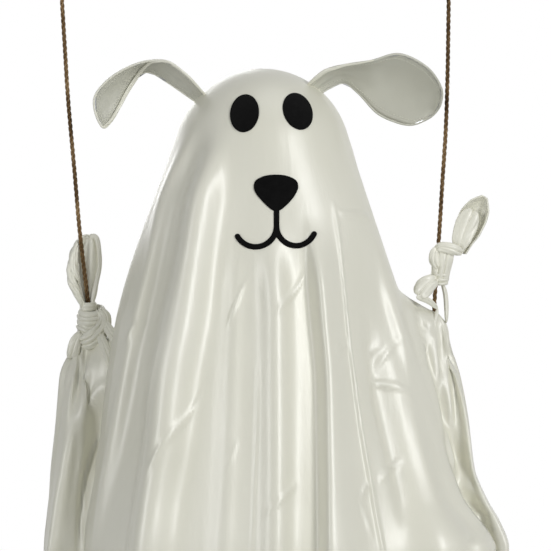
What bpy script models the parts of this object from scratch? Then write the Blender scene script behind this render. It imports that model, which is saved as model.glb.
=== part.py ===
"""A dog-eared ghost of white satin that hangs on two ropes, as if it sat on a swing.

One satin sheet is draped over a foam head. Its two sides are tied in knots round the ropes,
and the ropes run on inside the sheet to a wooden seat board, which carries a post and the head.

The front faces -Y and +X is to the right as seen from the front. The origin is the hang point,
level with the tops of the two hooks and straight above the head. A drop is a distance below the
sheet's crown.
"""

import bisect
import math

import bmesh
import bpy
from mathutils import Vector

# Overall places
HANG_TO_CROWN = 0.190
GAP = 0.0003

# Foam head, post and seat
HEAD_RADIUS = 0.1159
HEAD_SEAT_GAP = 0.0004
HEAD_LOWER_ROWS = 5
SHEET_WALL = 0.0016
POST_RADIUS = 0.011
POST_IN_HEAD = 0.060
SEAT_TOP_DROP = 0.617
SEAT_LENGTH = 0.578
SEAT_DEPTH = 0.120
SEAT_THICKNESS = 0.018
SEAT_CENTRE_X = 0.0275
SEAT_EDGE_ROUND = 0.003
SCREW_LENGTH = 0.055
SCREW_RADIUS = 0.0025
SCREW_HEAD_RADIUS = 0.0055
SCREW_HEAD_HEIGHT = 0.003
WASHER_RADIUS = 0.011
WASHER_THICKNESS = 0.0015

# Sheet, from the head to the hem
DOME_ROWS = 5
TAKEOFF_FRONT = math.radians(12)
TAKEOFF_SIDE = math.radians(19)
KNEE_DROP = 0.345
FOOT_DROP = 0.630
HEM_DROP = 0.780
KNEE_HALF_WIDTH = (-0.194, 0.196)
FOOT_HALF_WIDTH = (-0.228, 0.306)
KNEE_DEPTH = 0.162
FOOT_DEPTH = 0.212
KNEE_EDGE_DEPTH = 0.050
FOOT_EDGE_DEPTH = 0.092
HEM_SPREAD = 1.03
BODY_ROWS = (0.130, 0.185, 0.240, 0.280, 0.306, 0.330, 0.355, 0.395, 0.455, 0.520, 0.573,
             0.604, 0.630, 0.690, HEM_DROP)
EDGE_AZIMUTH = math.radians(77)

# Each front fold line: its place across the front at the knee and at the foot, and how far
# it stands out of the smooth front there, towards the viewer
FRONT_LINES = (
    (-0.182, -0.222, 0.003),
    (-0.163, -0.207, 0.006),
    (-0.144, -0.190, 0.000),
    (-0.125, -0.166, 0.004),
    (-0.104, -0.142, 0.014),
    (-0.084, -0.117, 0.002),
    (-0.068, -0.096, -0.006),
    (-0.055, -0.078, -0.007),
    (-0.037, -0.049, -0.001),
    (-0.018, -0.025, -0.007),
    (0.001, -0.004, -0.003),
    (0.018, 0.017, 0.007),
    (0.036, 0.035, -0.002),
    (0.057, 0.060, -0.008),
    (0.070, 0.074, -0.004),
    (0.081, 0.088, 0.006),
    (0.099, 0.112, 0.003),
    (0.117, 0.147, -0.005),
    (0.136, 0.167, -0.007),
    (0.150, 0.190, -0.005),
    (0.162, 0.214, 0.002),
    (0.173, 0.240, 0.006),
    (0.184, 0.266, 0.008),
)

# Each tied side's outline from its neck to the foot and the hem: a share of the way down from
# the neck to the foot, then the place across. Each of its lines, from front to back: its
# azimuth on the head in degrees from the front, then its place at the foot
LEFT_NECK = (-0.2290, 0.0, 0.355)
LEFT_NECK_RADII = (0.0240, 0.0160)
LEFT_OUTLINE = ((0.0, -0.2530), (0.309, -0.2660), (0.600, -0.2765), (0.891, -0.2865),
                (1.0, -0.2895), (1.545, -0.2930))
LEFT_LINES = (
    (-82, (-0.234, -0.064)),
    (-86, (-0.252, -0.066)),
    (-90, (-0.276, -0.058)),
    (-95, (-0.2885, -0.020)),
    (-100, (-0.2885, 0.030)),
    (-106, (-0.272, 0.078)),
    (-113, (-0.246, 0.104)),
)
RIGHT_NECK = (0.2340, 0.0, 0.306)
RIGHT_NECK_RADII = (0.0125, 0.0150)
RIGHT_OUTLINE = ((0.0, 0.2465), (0.167, 0.2490), (0.330, 0.2625), (0.506, 0.2735), (0.691, 0.2810),
                 (0.824, 0.2980), (0.907, 0.3130), (1.0, 0.3230), (1.463, 0.3170))
RIGHT_LINES = (
    (83, (0.3200, -0.078)),
    (87, (0.3230, -0.050)),
    (91, (0.3230, -0.015)),
    (95, (0.3230, 0.022)),
    (100, (0.3230, 0.058)),
    (106, (0.3160, 0.092)),
    (113, (0.2880, 0.110)),
)
SIDE_ABOVE_NECK = 0.034
SIDE_TUCK = 0.004

# Back folds, by a rule
BACK_LINES = 11
BACK_KNEE_HALF_WIDTH = 0.190
BACK_KNEE_DEPTH = 0.140
BACK_FOOT_HALF_WIDTH = 0.240
BACK_FOOT_CENTRE = 0.014
BACK_EDGE_DEPTH = 0.118
BACK_FOOT_DEPTH = 0.178
BACK_FOLD = 0.012
WIDE_LINE_SPACING = 0.036
NORMAL_ROUNDS = 2

# Knots of cloth with the loop that stands up from each
LEFT_KNOT = (-0.2275, 0.0, 0.340)
LEFT_KNOT_SIZE = (0.0205, 0.019, 0.030)
RIGHT_KNOT = (0.2375, 0.0, 0.271)
RIGHT_KNOT_SIZE = (0.0205, 0.018, 0.040)
KNOT_BANDS = 3
KNOT_BAND_DEPTH = 0.10
LOOP_WALL = 0.0030
LOOP_DEPTH_SHARE = 0.45
LEFT_LOOP_ROUTE = ((-0.229, 0.009, 0.330), (-0.236, 0.014, 0.290), (-0.2395, 0.017, 0.258),
                   (-0.233, 0.018, 0.218))
RIGHT_LOOP_ROUTE = ((0.245, 0.006, 0.250), (0.262, 0.008, 0.224), (0.279, 0.008, 0.196),
                    (0.296, 0.006, 0.170))
LOOP_WIDTH = 0.046

# Ropes
ROPE_RADIUS = 0.003
ROPE_CLEARANCE = 0.0006
ROPE_POINT_SPACING = 0.018
HOLE_CLEARANCE = 0.0010
LEFT_ROPE_ROUTE = ((-0.2675, 0.0, -0.125), (-0.2665, 0.0, -0.100), (-0.2620, 0.0, -0.025),
                   (-0.2575, 0.0, 0.045), (-0.2490, 0.0, 0.140), (-0.2425, 0.0, 0.215),
                   (-0.2325, 0.0, 0.300), (-0.2265, 0.0, 0.352), (-0.2190, 0.0, 0.430),
                   (-0.2110, 0.0, 0.540), (-0.2075, 0.0, 0.612), (-0.2070, 0.0, 0.6350))
RIGHT_ROPE_ROUTE = ((0.2490, 0.0, -0.125), (0.2485, 0.0, -0.100), (0.2470, 0.0, 0.0),
                    (0.2445, 0.0, 0.080), (0.2400, 0.0, 0.150), (0.2360, 0.0, 0.215),
                    (0.2325, 0.0, 0.262), (0.2295, 0.0, 0.310), (0.2265, 0.0, 0.370),
                    (0.2205, 0.0, 0.480), (0.2160, 0.0, 0.600), (0.2155, 0.0, 0.6350))
STOP_KNOT_RADIUS = 0.0085
STOP_KNOT_HEIGHT = 0.016
TOP_KNOT_RADIUS = 0.0075
TOP_KNOT_HEIGHT = 0.018
TOP_LOOP_HALF_WIDTH = 0.008
TOP_LOOP_HEIGHT = 0.022
TOP_LOOP_STEPS = 14
HOOK_WIRE_RADIUS = 0.002
HOOK_BEND_RADIUS = 0.0065
HOOK_TURN_STEPS = 9

# Ears, as their two edges: the edge near the viewer and the far one, each from the head
# to the tip as (across, towards the back, drop)
EAR_WALL = 0.0010
EAR_WIRE_RADIUS = 0.0011
EAR_INSET = EAR_WIRE_RADIUS + 0.0012
EAR_STATIONS = 12
EAR_COLUMNS = 4
EAR_CAMBER = 0.10
PRONG_LENGTH = 0.028
LEFT_EAR_NEAR = ((-0.0720, -0.038, 0.0400), (-0.0960, -0.060, 0.0150), (-0.1210, -0.066, -0.0040),
                 (-0.1480, -0.060, -0.0060), (-0.1760, -0.052, 0.0020), (-0.2020, -0.048, 0.0180),
                 (-0.2190, -0.047, 0.0390), (-0.2190, -0.046, 0.0600), (-0.2090, -0.046, 0.0800))
LEFT_EAR_FAR = ((-0.0840, -0.018, 0.0470), (-0.1000, -0.016, 0.0360), (-0.1260, -0.014, 0.0180),
                (-0.1490, -0.026, 0.0060), (-0.1660, -0.022, 0.0130), (-0.1790, -0.020, 0.0330),
                (-0.1900, -0.024, 0.0560), (-0.1990, -0.034, 0.0720), (-0.2090, -0.046, 0.0800))
RIGHT_EAR_NEAR = ((0.0580, -0.033, 0.0260), (0.0830, -0.050, 0.0060), (0.1100, -0.060, -0.0010),
                  (0.1440, -0.063, -0.0060), (0.1800, -0.060, -0.0150), (0.2160, -0.050, 0.0010),
                  (0.2360, -0.032, 0.0260), (0.2370, -0.020, 0.0460), (0.2290, -0.006, 0.0600))
RIGHT_EAR_FAR = ((0.0760, -0.014, 0.0350), (0.0900, -0.010, 0.0260), (0.1090, -0.004, 0.0190),
                 (0.1290, 0.002, 0.0330), (0.1530, 0.008, 0.0580), (0.1780, 0.012, 0.0700),
                 (0.1980, 0.010, 0.0740), (0.2150, 0.004, 0.0690), (0.2290, -0.006, 0.0600))

# Felt face
FELT_GAP = 0.0005
FELT_THICKNESS = 0.0012
FELT_CUT_NEAR = 0.30
FACE_HALF_WIDTH = 0.092
FACE_ROWS = 9
EYE_HALF_WIDTH = 0.0187
EYE_HALF_HEIGHT = 0.0252
EYE_POINTS = 22
LEFT_EYE = (-0.0221, 0.0649, math.radians(7))
RIGHT_EYE = (0.0467, 0.0618, math.radians(-20))
NOSE_OUTLINE = ((0.0186, 0.1450), (0.0330, 0.1466), (0.0440, 0.1520), (0.0472, 0.1600),
                (0.0445, 0.1690), (0.0370, 0.1795), (0.0270, 0.1890), (0.0190, 0.1925),
                (0.0110, 0.1890), (0.0010, 0.1795), (-0.0075, 0.1690), (-0.0100, 0.1600),
                (-0.0068, 0.1520), (0.0042, 0.1466))
MOUTH_STROKE = 0.0072
MOUTH_JOIN = (0.0193, 0.2115)
MOUTH_STEM_TOP = 0.1930
MOUTH_LEFT_RADIUS = 0.0268
MOUTH_RIGHT_RADIUS = 0.0252
MOUTH_LEFT_SWEEP = math.radians(150)
MOUTH_RIGHT_SWEEP = math.radians(156)
MOUTH_STEPS = 11

SHEET_HEAD_RADIUS = HEAD_RADIUS + HEAD_SEAT_GAP + SHEET_WALL
HEAD_CENTRE_DROP = SHEET_HEAD_RADIUS
EAR_CLEAR_RADIUS = SHEET_HEAD_RADIUS + 3 * GAP


def height(drop):
    """World height of a point that lies this far below the crown."""
    return -HANG_TO_CROWN - drop


def place(across, back, drop):
    """World point from its place across, towards the back and below the crown."""
    return Vector((across, back, height(drop)))


def satin(name, colour, roughness, metallic=0.0):
    """A plain material with the part's colour."""
    made = bpy.data.materials.new(name)
    made.use_nodes = True
    shader = made.node_tree.nodes["Principled BSDF"]
    shader.inputs["Base Color"].default_value = (*colour, 1.0)
    shader.inputs["Roughness"].default_value = roughness
    shader.inputs["Metallic"].default_value = metallic
    return made


def add_mesh(name, points, faces, material=None, smooth=True):
    """An object from points and faces."""
    mesh = bpy.data.meshes.new(name)
    mesh.from_pydata([tuple(p) for p in points], [], faces)
    if material:
        mesh.materials.append(material)
    if smooth:
        mesh.shade_smooth()
    made = bpy.data.objects.new(name, mesh)
    bpy.context.scene.collection.objects.link(made)
    return made


def hide_guide(made):
    """Marks an object as a cutter that isn't part of the model."""
    made.hide_render = True
    made.display_type = "WIRE"
    return made


def boolean(target, tool, operation, solver="EXACT"):
    """Cuts, joins or intersects target with tool."""
    step = target.modifiers.new(operation.title(), "BOOLEAN")
    step.operation = operation
    step.solver = solver
    step.object = tool
    hide_guide(tool)


def slopes_through(levels, values, first_slope=None):
    """Slopes at each level of a smooth curve that never overshoots its values."""
    steps = [(b - a) for a, b in zip(levels, levels[1:])]
    rises = [(b - a) / s for a, b, s in zip(values, values[1:], steps)]
    slopes = [rises[0] if first_slope is None else first_slope]
    for before, after in zip(rises, rises[1:]):
        slopes.append(2 * before * after / (before + after) if before * after > 0 else 0.0)
    return slopes + [rises[-1]]


def curve_value(levels, values, slopes, level):
    """The smooth curve's value at a level."""
    i = min(max(bisect.bisect_right(levels, level) - 1, 0), len(levels) - 2)
    step = levels[i + 1] - levels[i]
    t = (level - levels[i]) / step
    return ((1 + 2 * t) * (1 - t) ** 2 * values[i] + t * (1 - t) ** 2 * step * slopes[i]
            + t * t * (3 - 2 * t) * values[i + 1] - t * t * (1 - t) * step * slopes[i + 1])


def smooth_route(route, spacing):
    """Evenly spaced points on a smooth curve through a route's own points."""
    dense = []
    points = [Vector(p) for p in route]
    ends = [2 * points[0] - points[1], *points, 2 * points[-1] - points[-2]]
    for a, b, c, d in zip(ends, ends[1:], ends[2:], ends[3:]):
        for i in range(24):
            t = i / 24
            dense.append(0.5 * (2 * b + (c - a) * t + (2 * a - 5 * b + 4 * c - d) * t ** 2
                                + (3 * b - a - 3 * c + d) * t ** 3))
    dense.append(points[-1])
    reach = [0.0]
    for a, b in zip(dense, dense[1:]):
        reach.append(reach[-1] + (b - a).length)
    count = max(2, round(reach[-1] / spacing))
    even = []
    for k in range(count + 1):
        at = reach[-1] * k / count
        i = min(bisect.bisect_right(reach, at), len(dense) - 1)
        share = (at - reach[i - 1]) / max(reach[i] - reach[i - 1], 1e-9)
        even.append(dense[i - 1].lerp(dense[i], share))
    return even


class SheetLine:
    """One line of the sheet from the crown over the head and down to the hem."""

    def __init__(self, azimuth, stations):
        """azimuth is measured from the front, and a station is (drop, across, towards the back)."""
        self.azimuth = azimuth
        side = math.sin(azimuth) ** 2
        self.polar = math.pi / 2 - TAKEOFF_FRONT - (TAKEOFF_SIDE - TAKEOFF_FRONT) * side
        start = self.dome_point(1.0)
        lean = math.tan(math.pi / 2 - self.polar)
        self.levels = [start[2]] + [s[0] for s in stations]
        across = [start[0]] + [s[1] for s in stations]
        back = [start[1]] + [s[2] for s in stations]
        self.curves = (
            (across, slopes_through(self.levels, across, lean * math.sin(azimuth))),
            (back, slopes_through(self.levels, back, -lean * math.cos(azimuth))),
        )

    def dome_point(self, share):
        """A point on the head part, at a share of the way from the crown to the take-off."""
        polar = self.polar * share
        out = SHEET_HEAD_RADIUS * math.sin(polar)
        return (out * math.sin(self.azimuth), -out * math.cos(self.azimuth),
                SHEET_HEAD_RADIUS * (1 - math.cos(polar)))

    def body_point(self, drop):
        """A point below the take-off."""
        across, back = (curve_value(self.levels, v, s, drop) for v, s in self.curves)
        return (across, back, drop)

    def points(self):
        """All points of the line, from the row next to the crown to the hem."""
        dome = [self.dome_point((i + 1) / DOME_ROWS) for i in range(DOME_ROWS)]
        return dome + [self.body_point(drop) for drop in BODY_ROWS]


def front_depth(across, half_widths, depth, edge_depth):
    """How far the smooth front stands out at a place across."""
    half = half_widths[0] if across < 0 else half_widths[1]
    share = min(abs(across / half), 1.0)
    return edge_depth + (depth - edge_depth) * (1 - share ** 2) ** 0.6


def front_lines():
    """The fold lines of the front, from its left edge to its right edge."""
    edges = [(KNEE_HALF_WIDTH[0], FOOT_HALF_WIDTH[0], 0.0)]
    ends = [(KNEE_HALF_WIDTH[1], FOOT_HALF_WIDTH[1], 0.0)]
    made = []
    for knee, foot, relief in edges + list(FRONT_LINES) + ends:
        half = KNEE_HALF_WIDTH[0] if knee < 0 else KNEE_HALF_WIDTH[1]
        azimuth = math.asin(math.sin(EDGE_AZIMUTH) * knee / abs(half))
        knee_y = -front_depth(knee, KNEE_HALF_WIDTH, KNEE_DEPTH, KNEE_EDGE_DEPTH)
        foot_y = -front_depth(foot, FOOT_HALF_WIDTH, FOOT_DEPTH, FOOT_EDGE_DEPTH)
        stations = [(KNEE_DROP, knee, knee_y - relief * 0.6), (FOOT_DROP, foot, foot_y - relief),
                    (HEM_DROP, foot, foot_y * HEM_SPREAD - relief * 1.2)]
        made.append(SheetLine(azimuth, stations))
    return made


def cone_point(azimuth, drop, tuck):
    """A point on the smooth cone that the sheet forms above the knots, set in by a tuck."""
    polar = math.pi / 2 - TAKEOFF_SIDE
    below = drop - SHEET_HEAD_RADIUS * (1 - math.cos(polar))
    across = SHEET_HEAD_RADIUS * math.sin(polar) + below * math.tan(TAKEOFF_SIDE) - tuck
    depth = SHEET_HEAD_RADIUS * math.sin(polar) + below * math.tan(TAKEOFF_FRONT) - tuck
    return across * math.sin(azimuth), -depth * math.cos(azimuth)


def side_lines(neck, radii, outline, lines):
    """The lines of one tied side, which run in to the neck of the knot and fan out below it."""
    made = []
    side = math.copysign(1, neck[0])
    neck_reach, foot_reach = outline[0][1], outline[-2][1] - outline[0][1]
    for k, (degrees, foot) in enumerate(lines):
        azimuth = math.radians(degrees)
        turn = math.radians(-80 + 160 * k / (len(lines) - 1))
        neck_x = neck[0] + side * radii[0] * math.cos(turn)
        neck_y = neck[1] + radii[1] * math.sin(turn)
        above = neck[2] - SIDE_ABOVE_NECK
        stations = [(above, *cone_point(azimuth, above, SIDE_TUCK)), (neck[2], neck_x, neck_y)]
        for share, across in outline[1:]:
            drop = neck[2] + (FOOT_DROP - neck[2]) * share
            reach = (across - neck_reach) / foot_reach
            fall = min(share, 1.05) ** 0.8
            stations.append((drop, neck_x + (foot[0] - neck_x) * reach, neck_y + (foot[1] - neck_y) * fall))
        made.append(SheetLine(azimuth, stations))
    return made


def back_lines():
    """The fold lines of the back, from its right edge to its left one, by a rule."""
    made = []
    first, last = 122, 238
    for k in range(BACK_LINES):
        share = k / (BACK_LINES - 1)
        azimuth = math.radians(first + (last - first) * share)
        relief = BACK_FOLD * (1 if k % 2 else -1)
        bow = math.sin(math.pi * share) ** 0.6
        knee_x = BACK_KNEE_HALF_WIDTH * math.sin(azimuth)
        knee_y = -BACK_KNEE_DEPTH * math.cos(azimuth) + relief * 0.5 * bow
        foot_x = BACK_FOOT_CENTRE + BACK_FOOT_HALF_WIDTH * math.cos(math.pi * share)
        foot_y = BACK_EDGE_DEPTH + (BACK_FOOT_DEPTH - BACK_EDGE_DEPTH) * bow + relief * bow
        stations = [(KNEE_DROP, knee_x, knee_y), (FOOT_DROP, foot_x, foot_y),
                    (HEM_DROP, foot_x, foot_y * HEM_SPREAD)]
        made.append(SheetLine(azimuth, stations))
    return made


def across_lines(rows):
    """Adds a column halfway between lines that lie far apart, on a smooth curve round the sheet."""
    made = []
    count = len(rows)
    for k in range(count):
        a, b, c, d = (rows[(k + i) % count] for i in (-1, 0, 1, 2))
        made.append(b)
        if (c[-1] - b[-1]).length > WIDE_LINE_SPACING:
            made.append([halfway(*four) for four in zip(a, b, c, d)])
    return made


def halfway(a, b, c, d):
    """The point halfway from b to c on a smooth curve through four points that aren't evenly spaced."""
    step = (c - b).length + 1e-9
    leave = (c - a) * (step / (step + (b - a).length))
    arrive = (d - b) * (step / (step + (d - c).length))
    return (b + c) / 2 + (leave - arrive) / 8


def sheet_grid():
    """Columns of the sheet's outer face, once round, each from the crown's first row to the hem."""
    left = side_lines(LEFT_NECK, LEFT_NECK_RADII, LEFT_OUTLINE, LEFT_LINES)
    right = side_lines(RIGHT_NECK, RIGHT_NECK_RADII, RIGHT_OUTLINE, RIGHT_LINES)
    lines = left[::-1] + front_lines() + right + back_lines()
    rows = [[place(*p) for p in line.points()] for line in lines]
    return across_lines(rows)


def grid_normals(columns):
    """Outward directions at the points of a grid that closes round."""
    count, rows = len(columns), len(columns[0])
    normals = []
    for k, column in enumerate(columns):
        before, after = columns[k - 1], columns[(k + 1) % count]
        made = []
        for i in range(rows):
            down = column[min(i + 1, rows - 1)] - column[max(i - 1, 0)]
            made.append(down.cross(after[i] - before[i]).normalized())
        normals.append(made)
    for _ in range(NORMAL_ROUNDS):
        normals = [[(2 * n + column[max(i - 1, 0)] + column[min(i + 1, rows - 1)]
                     + normals[k - 1][i] + normals[(k + 1) % count][i]).normalized()
                    for i, n in enumerate(column)] for k, column in enumerate(normals)]
    return normals


def offset_shell(name, columns, normals, near, far, crown=True, material=None):
    """A closed wall between two offsets of the sheet's outer face."""
    count, rows = len(columns), len(columns[0])
    points, faces = [], []
    for off in (far, near):
        for column, directions in zip(columns, normals):
            points += [p + n * off for p, n in zip(column, directions)]
    inner = count * rows
    joins = count if crown else count - 1
    for k in range(joins):
        nxt = (k + 1) % count
        for i in range(rows - 1):
            a, b, c, d = k * rows + i, k * rows + i + 1, nxt * rows + i + 1, nxt * rows + i
            faces += [(a, b, c, d), (inner + a, inner + d, inner + c, inner + b)]
        a, b = k * rows + rows - 1, nxt * rows + rows - 1
        faces.append((a, inner + a, inner + b, b))
        if not crown:
            a, b = k * rows, nxt * rows
            faces.append((b, inner + b, inner + a, a))
    if crown:
        top = Vector((0.0, 0.0, height(0.0)))
        up = Vector((0.0, 0.0, 1.0))
        points += [top + up * far, top + up * near]
        for k in range(count):
            a, b = k * rows, ((k + 1) % count) * rows
            faces += [(len(points) - 2, a, b), (len(points) - 1, inner + b, inner + a)]
    else:
        for k, flip in ((0, False), (count - 1, True)):
            for i in range(rows - 1):
                a, b = k * rows + i, k * rows + i + 1
                quad = (a, inner + a, inner + b, b)
                faces.append(quad[::-1] if flip else quad)
    return add_mesh(name, points, faces, material)


def outward(made):
    """Makes a closed mesh's faces point out."""
    work = bmesh.new()
    work.from_mesh(made.data)
    bmesh.ops.recalc_face_normals(work, faces=work.faces)
    if work.calc_volume(signed=True) < 0:
        bmesh.ops.reverse_faces(work, faces=work.faces)
    work.to_mesh(made.data)
    work.free()
    return made


def tube(name, points, radius, material=None, sides=2, cyclic=False):
    """A round bar along points."""
    curve = bpy.data.curves.new(name, "CURVE")
    curve.dimensions = "3D"
    curve.bevel_depth = radius
    curve.bevel_resolution = sides
    curve.use_fill_caps = not cyclic
    spline = curve.splines.new("POLY")
    spline.points.add(len(points) - 1)
    for point, at in zip(spline.points, points):
        point.co = (*at, 1.0)
    spline.use_cyclic_u = cyclic
    if material:
        curve.materials.append(material)
    made = bpy.data.objects.new(name, curve)
    bpy.context.scene.collection.objects.link(made)
    return made


def pipe(name, points, radius, sides=8):
    """A round bar along points, as a mesh to cut or join with."""
    side = Vector((0.0, 1.0, 0.0))
    rings = []
    for i, at in enumerate(points):
        run = (points[min(i + 1, len(points) - 1)] - points[max(i - 1, 0)]).normalized()
        side = (side - run * side.dot(run)).normalized()
        up = run.cross(side)
        rings.append([at + side * radius * math.cos(2 * math.pi * k / sides)
                      + up * radius * math.sin(2 * math.pi * k / sides) for k in range(sides)])
    return ring_loft(name, rings)


def ring_loft(name, rings, material=None):
    """A closed solid through rings of points, with a flat face at each end."""
    count = len(rings[0])
    points = [p for ring in rings for p in ring]
    faces = [tuple(range(count))[::-1]]
    for r in range(len(rings) - 1):
        for k in range(count):
            nxt = (k + 1) % count
            faces.append((r * count + k, r * count + nxt, (r + 1) * count + nxt, (r + 1) * count + k))
    last = (len(rings) - 1) * count
    faces.append(tuple(range(last, last + count)))
    return outward(add_mesh(name, points, faces, material))


def knot_lump(name, centre, size, sides=12, rows=9):
    """The lump of a tied knot: a barrel with bands wrapped round it."""
    rings = []
    for r in range(rows + 1):
        polar = math.pi * (0.04 + 0.92 * r / rows)
        band = 1 + KNOT_BAND_DEPTH * math.cos(2 * math.pi * KNOT_BANDS * r / rows)
        ring = []
        for k in range(sides):
            turn = 2 * math.pi * k / sides
            out = math.sin(polar) ** 0.7 * band
            ring.append(place(centre[0] + size[0] * out * math.cos(turn),
                              centre[1] + size[1] * out * math.sin(turn),
                              centre[2] - size[2] * math.cos(polar)))
        rings.append(ring)
    return ring_loft(name, rings)


def cloth_loop(name, route, rows=7, steps=6):
    """The loop of cloth that stands up from a knot: a cupped leaf that opens to the front."""
    middle = smooth_route(route, (Vector(route[-1]) - Vector(route[0])).length / rows)
    rings = []
    for i, at in enumerate(middle):
        share = i / (len(middle) - 1)
        run = (middle[min(i + 1, len(middle) - 1)] - middle[max(i - 1, 0)])
        side = Vector((run.z, 0.0, -run.x)).normalized()
        half = LOOP_WIDTH / 2 * (0.30 + 0.70 * math.sin(math.pi * (0.08 + 0.84 * share) ** 0.8))
        ring = []
        for sign, swap in ((1, 1), (-1, -1)):
            for k in range(steps + 1):
                turn = math.pi * (k / steps) * swap + (0 if swap > 0 else math.pi)
                bow = math.sin(turn if swap > 0 else math.pi - turn)
                out = half - (0 if sign > 0 else LOOP_WALL / 2) + (LOOP_WALL / 2 if sign > 0 else 0)
                off = side * out * math.cos(turn)
                off.y += half * LOOP_DEPTH_SHARE * bow + (LOOP_WALL / 2) * sign
                ring.append(place(*(at + off)))
        rings.append(ring)
    return ring_loft(name, rings)


def build_sheet(material):
    """The satin sheet with its two knots and standing loops, and holes for ropes and ear wires."""
    columns = sheet_grid()
    normals = grid_normals(columns)
    sheet = outward(offset_shell("ghost_sheet", columns, normals, -SHEET_WALL, 0.0, material=material))
    for side, knot, size, route in (("left", LEFT_KNOT, LEFT_KNOT_SIZE, LEFT_LOOP_ROUTE),
                                    ("right", RIGHT_KNOT, RIGHT_KNOT_SIZE, RIGHT_LOOP_ROUTE)):
        boolean(sheet, knot_lump(f"{side}_knot_guide", knot, size), "UNION", "MANIFOLD")
        boolean(sheet, cloth_loop(f"{side}_loop_guide", route), "UNION", "MANIFOLD")
    return sheet, columns, normals


def cylinder(name, centre, radius, low, high, material=None, sides=24):
    """An upright bar between two heights."""
    rings = [[Vector((centre[0] + radius * math.cos(2 * math.pi * k / sides),
                      centre[1] + radius * math.sin(2 * math.pi * k / sides), z))
              for k in range(sides)] for z in (low, high)]
    return ring_loft(name, rings, material)


def build_head(columns, material):
    """The foam ball that the sheet lies on, with facets that follow the sheet's, and its post hole."""
    centre = Vector((0.0, 0.0, height(HEAD_CENTRE_DROP)))
    around = columns[::2]
    count = len(around)
    points = [centre + Vector((0.0, 0.0, HEAD_RADIUS))]
    for row in range(DOME_ROWS):
        points += [centre + (column[row] - centre).normalized() * HEAD_RADIUS for column in around]
    for row in range(1, HEAD_LOWER_ROWS):
        for column in around:
            last = (column[DOME_ROWS - 1] - centre).normalized()
            polar = math.acos(last.z)
            polar += (math.pi - polar) * row / HEAD_LOWER_ROWS
            flat = Vector((last.x, last.y, 0.0)).normalized() * math.sin(polar)
            points.append(centre + (flat + Vector((0.0, 0.0, math.cos(polar)))) * HEAD_RADIUS)
    points.append(centre - Vector((0.0, 0.0, HEAD_RADIUS)))
    rings = DOME_ROWS + HEAD_LOWER_ROWS - 1
    faces = []
    for k in range(count):
        nxt = (k + 1) % count
        faces.append((0, 1 + k, 1 + nxt))
        for r in range(rings - 1):
            a, b = 1 + r * count, 1 + (r + 1) * count
            faces.append((a + k, b + k, b + nxt, a + nxt))
        last_ring = 1 + (rings - 1) * count
        faces.append((last_ring + k, len(points) - 1, last_ring + nxt))
    head = outward(add_mesh("head_form", points, faces, material))
    bottom = height(HEAD_CENTRE_DROP + HEAD_RADIUS)
    hole = cylinder("post_hole_guide", (0, 0), POST_RADIUS + GAP, bottom - 0.02,
                    bottom + POST_IN_HEAD)
    boolean(head, hole, "DIFFERENCE")
    return head


def build_post(material):
    """The post between the seat board and the head."""
    top = height(HEAD_CENTRE_DROP + HEAD_RADIUS) + POST_IN_HEAD - GAP
    foot = height(SEAT_TOP_DROP) + GAP
    post = cylinder("post", (0, 0), POST_RADIUS, foot, top, material)
    boolean(post, cylinder("screw_pilot_guide", (0, 0), SCREW_RADIUS + GAP, foot - 0.01,
                           height(SEAT_TOP_DROP) + screw_reach() + GAP, sides=16), "DIFFERENCE")
    return post


def screw_reach():
    """How far the screw's tip stands above the seat board."""
    return SCREW_LENGTH - SEAT_THICKNESS - WASHER_THICKNESS - 2 * GAP


def build_seat(material):
    """The wooden seat board with its rope holes and screw hole."""
    made = add_mesh("seat_board", *box_points(
        (SEAT_CENTRE_X, 0.0, height(SEAT_TOP_DROP) - SEAT_THICKNESS / 2),
        (SEAT_LENGTH, SEAT_DEPTH, SEAT_THICKNESS)), material, smooth=False)
    edge = made.modifiers.new("Round", "BEVEL")
    edge.width = SEAT_EDGE_ROUND
    edge.segments = 2
    low, high = height(SEAT_TOP_DROP) - SEAT_THICKNESS - 0.01, height(SEAT_TOP_DROP) + 0.01
    holes = [(LEFT_ROPE_ROUTE[-1][0], ROPE_RADIUS + HOLE_CLEARANCE),
             (RIGHT_ROPE_ROUTE[-1][0], ROPE_RADIUS + HOLE_CLEARANCE),
             (0.0, SCREW_RADIUS + GAP)]
    for k, (across, radius) in enumerate(holes):
        cutter = cylinder(f"seat_hole_guide_{k}", (across, 0), radius, low, high, sides=16)
        boolean(made, cutter, "DIFFERENCE")
    return made


def box_points(centre, size):
    """Points and faces of a box."""
    x, y, z = (s / 2 for s in size)
    points = [Vector(centre) + Vector(p) for p in
              ((-x, -y, -z), (x, -y, -z), (x, y, -z), (-x, y, -z),
               (-x, -y, z), (x, -y, z), (x, y, z), (-x, y, z))]
    faces = [(3, 2, 1, 0), (4, 5, 6, 7), (0, 1, 5, 4), (1, 2, 6, 5), (2, 3, 7, 6), (3, 0, 4, 7)]
    return points, faces


def build_screw(material):
    """The wood screw that holds the post down, and the washer under its head."""
    under = height(SEAT_TOP_DROP) - SEAT_THICKNESS
    washer_top = under - GAP
    washer = cylinder("post_washer", (0, 0), WASHER_RADIUS, washer_top - WASHER_THICKNESS,
                      washer_top, material, sides=20)
    bore = cylinder("washer_bore_guide", (0, 0), SCREW_RADIUS + GAP, washer_top - 0.01,
                    washer_top + 0.01, sides=16)
    boolean(washer, bore, "DIFFERENCE")
    head_top = washer_top - WASHER_THICKNESS - GAP
    tip = height(SEAT_TOP_DROP) + screw_reach()
    profile = [(SCREW_HEAD_RADIUS * 0.7, head_top - SCREW_HEAD_HEIGHT),
               (SCREW_HEAD_RADIUS, head_top - SCREW_HEAD_HEIGHT * 0.5), (SCREW_HEAD_RADIUS, head_top),
               (SCREW_RADIUS, head_top), (SCREW_RADIUS, tip - 0.006), (SCREW_RADIUS * 0.2, tip)]
    turned("post_screw", (0.0, 0.0), profile, material, sides=16)


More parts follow.
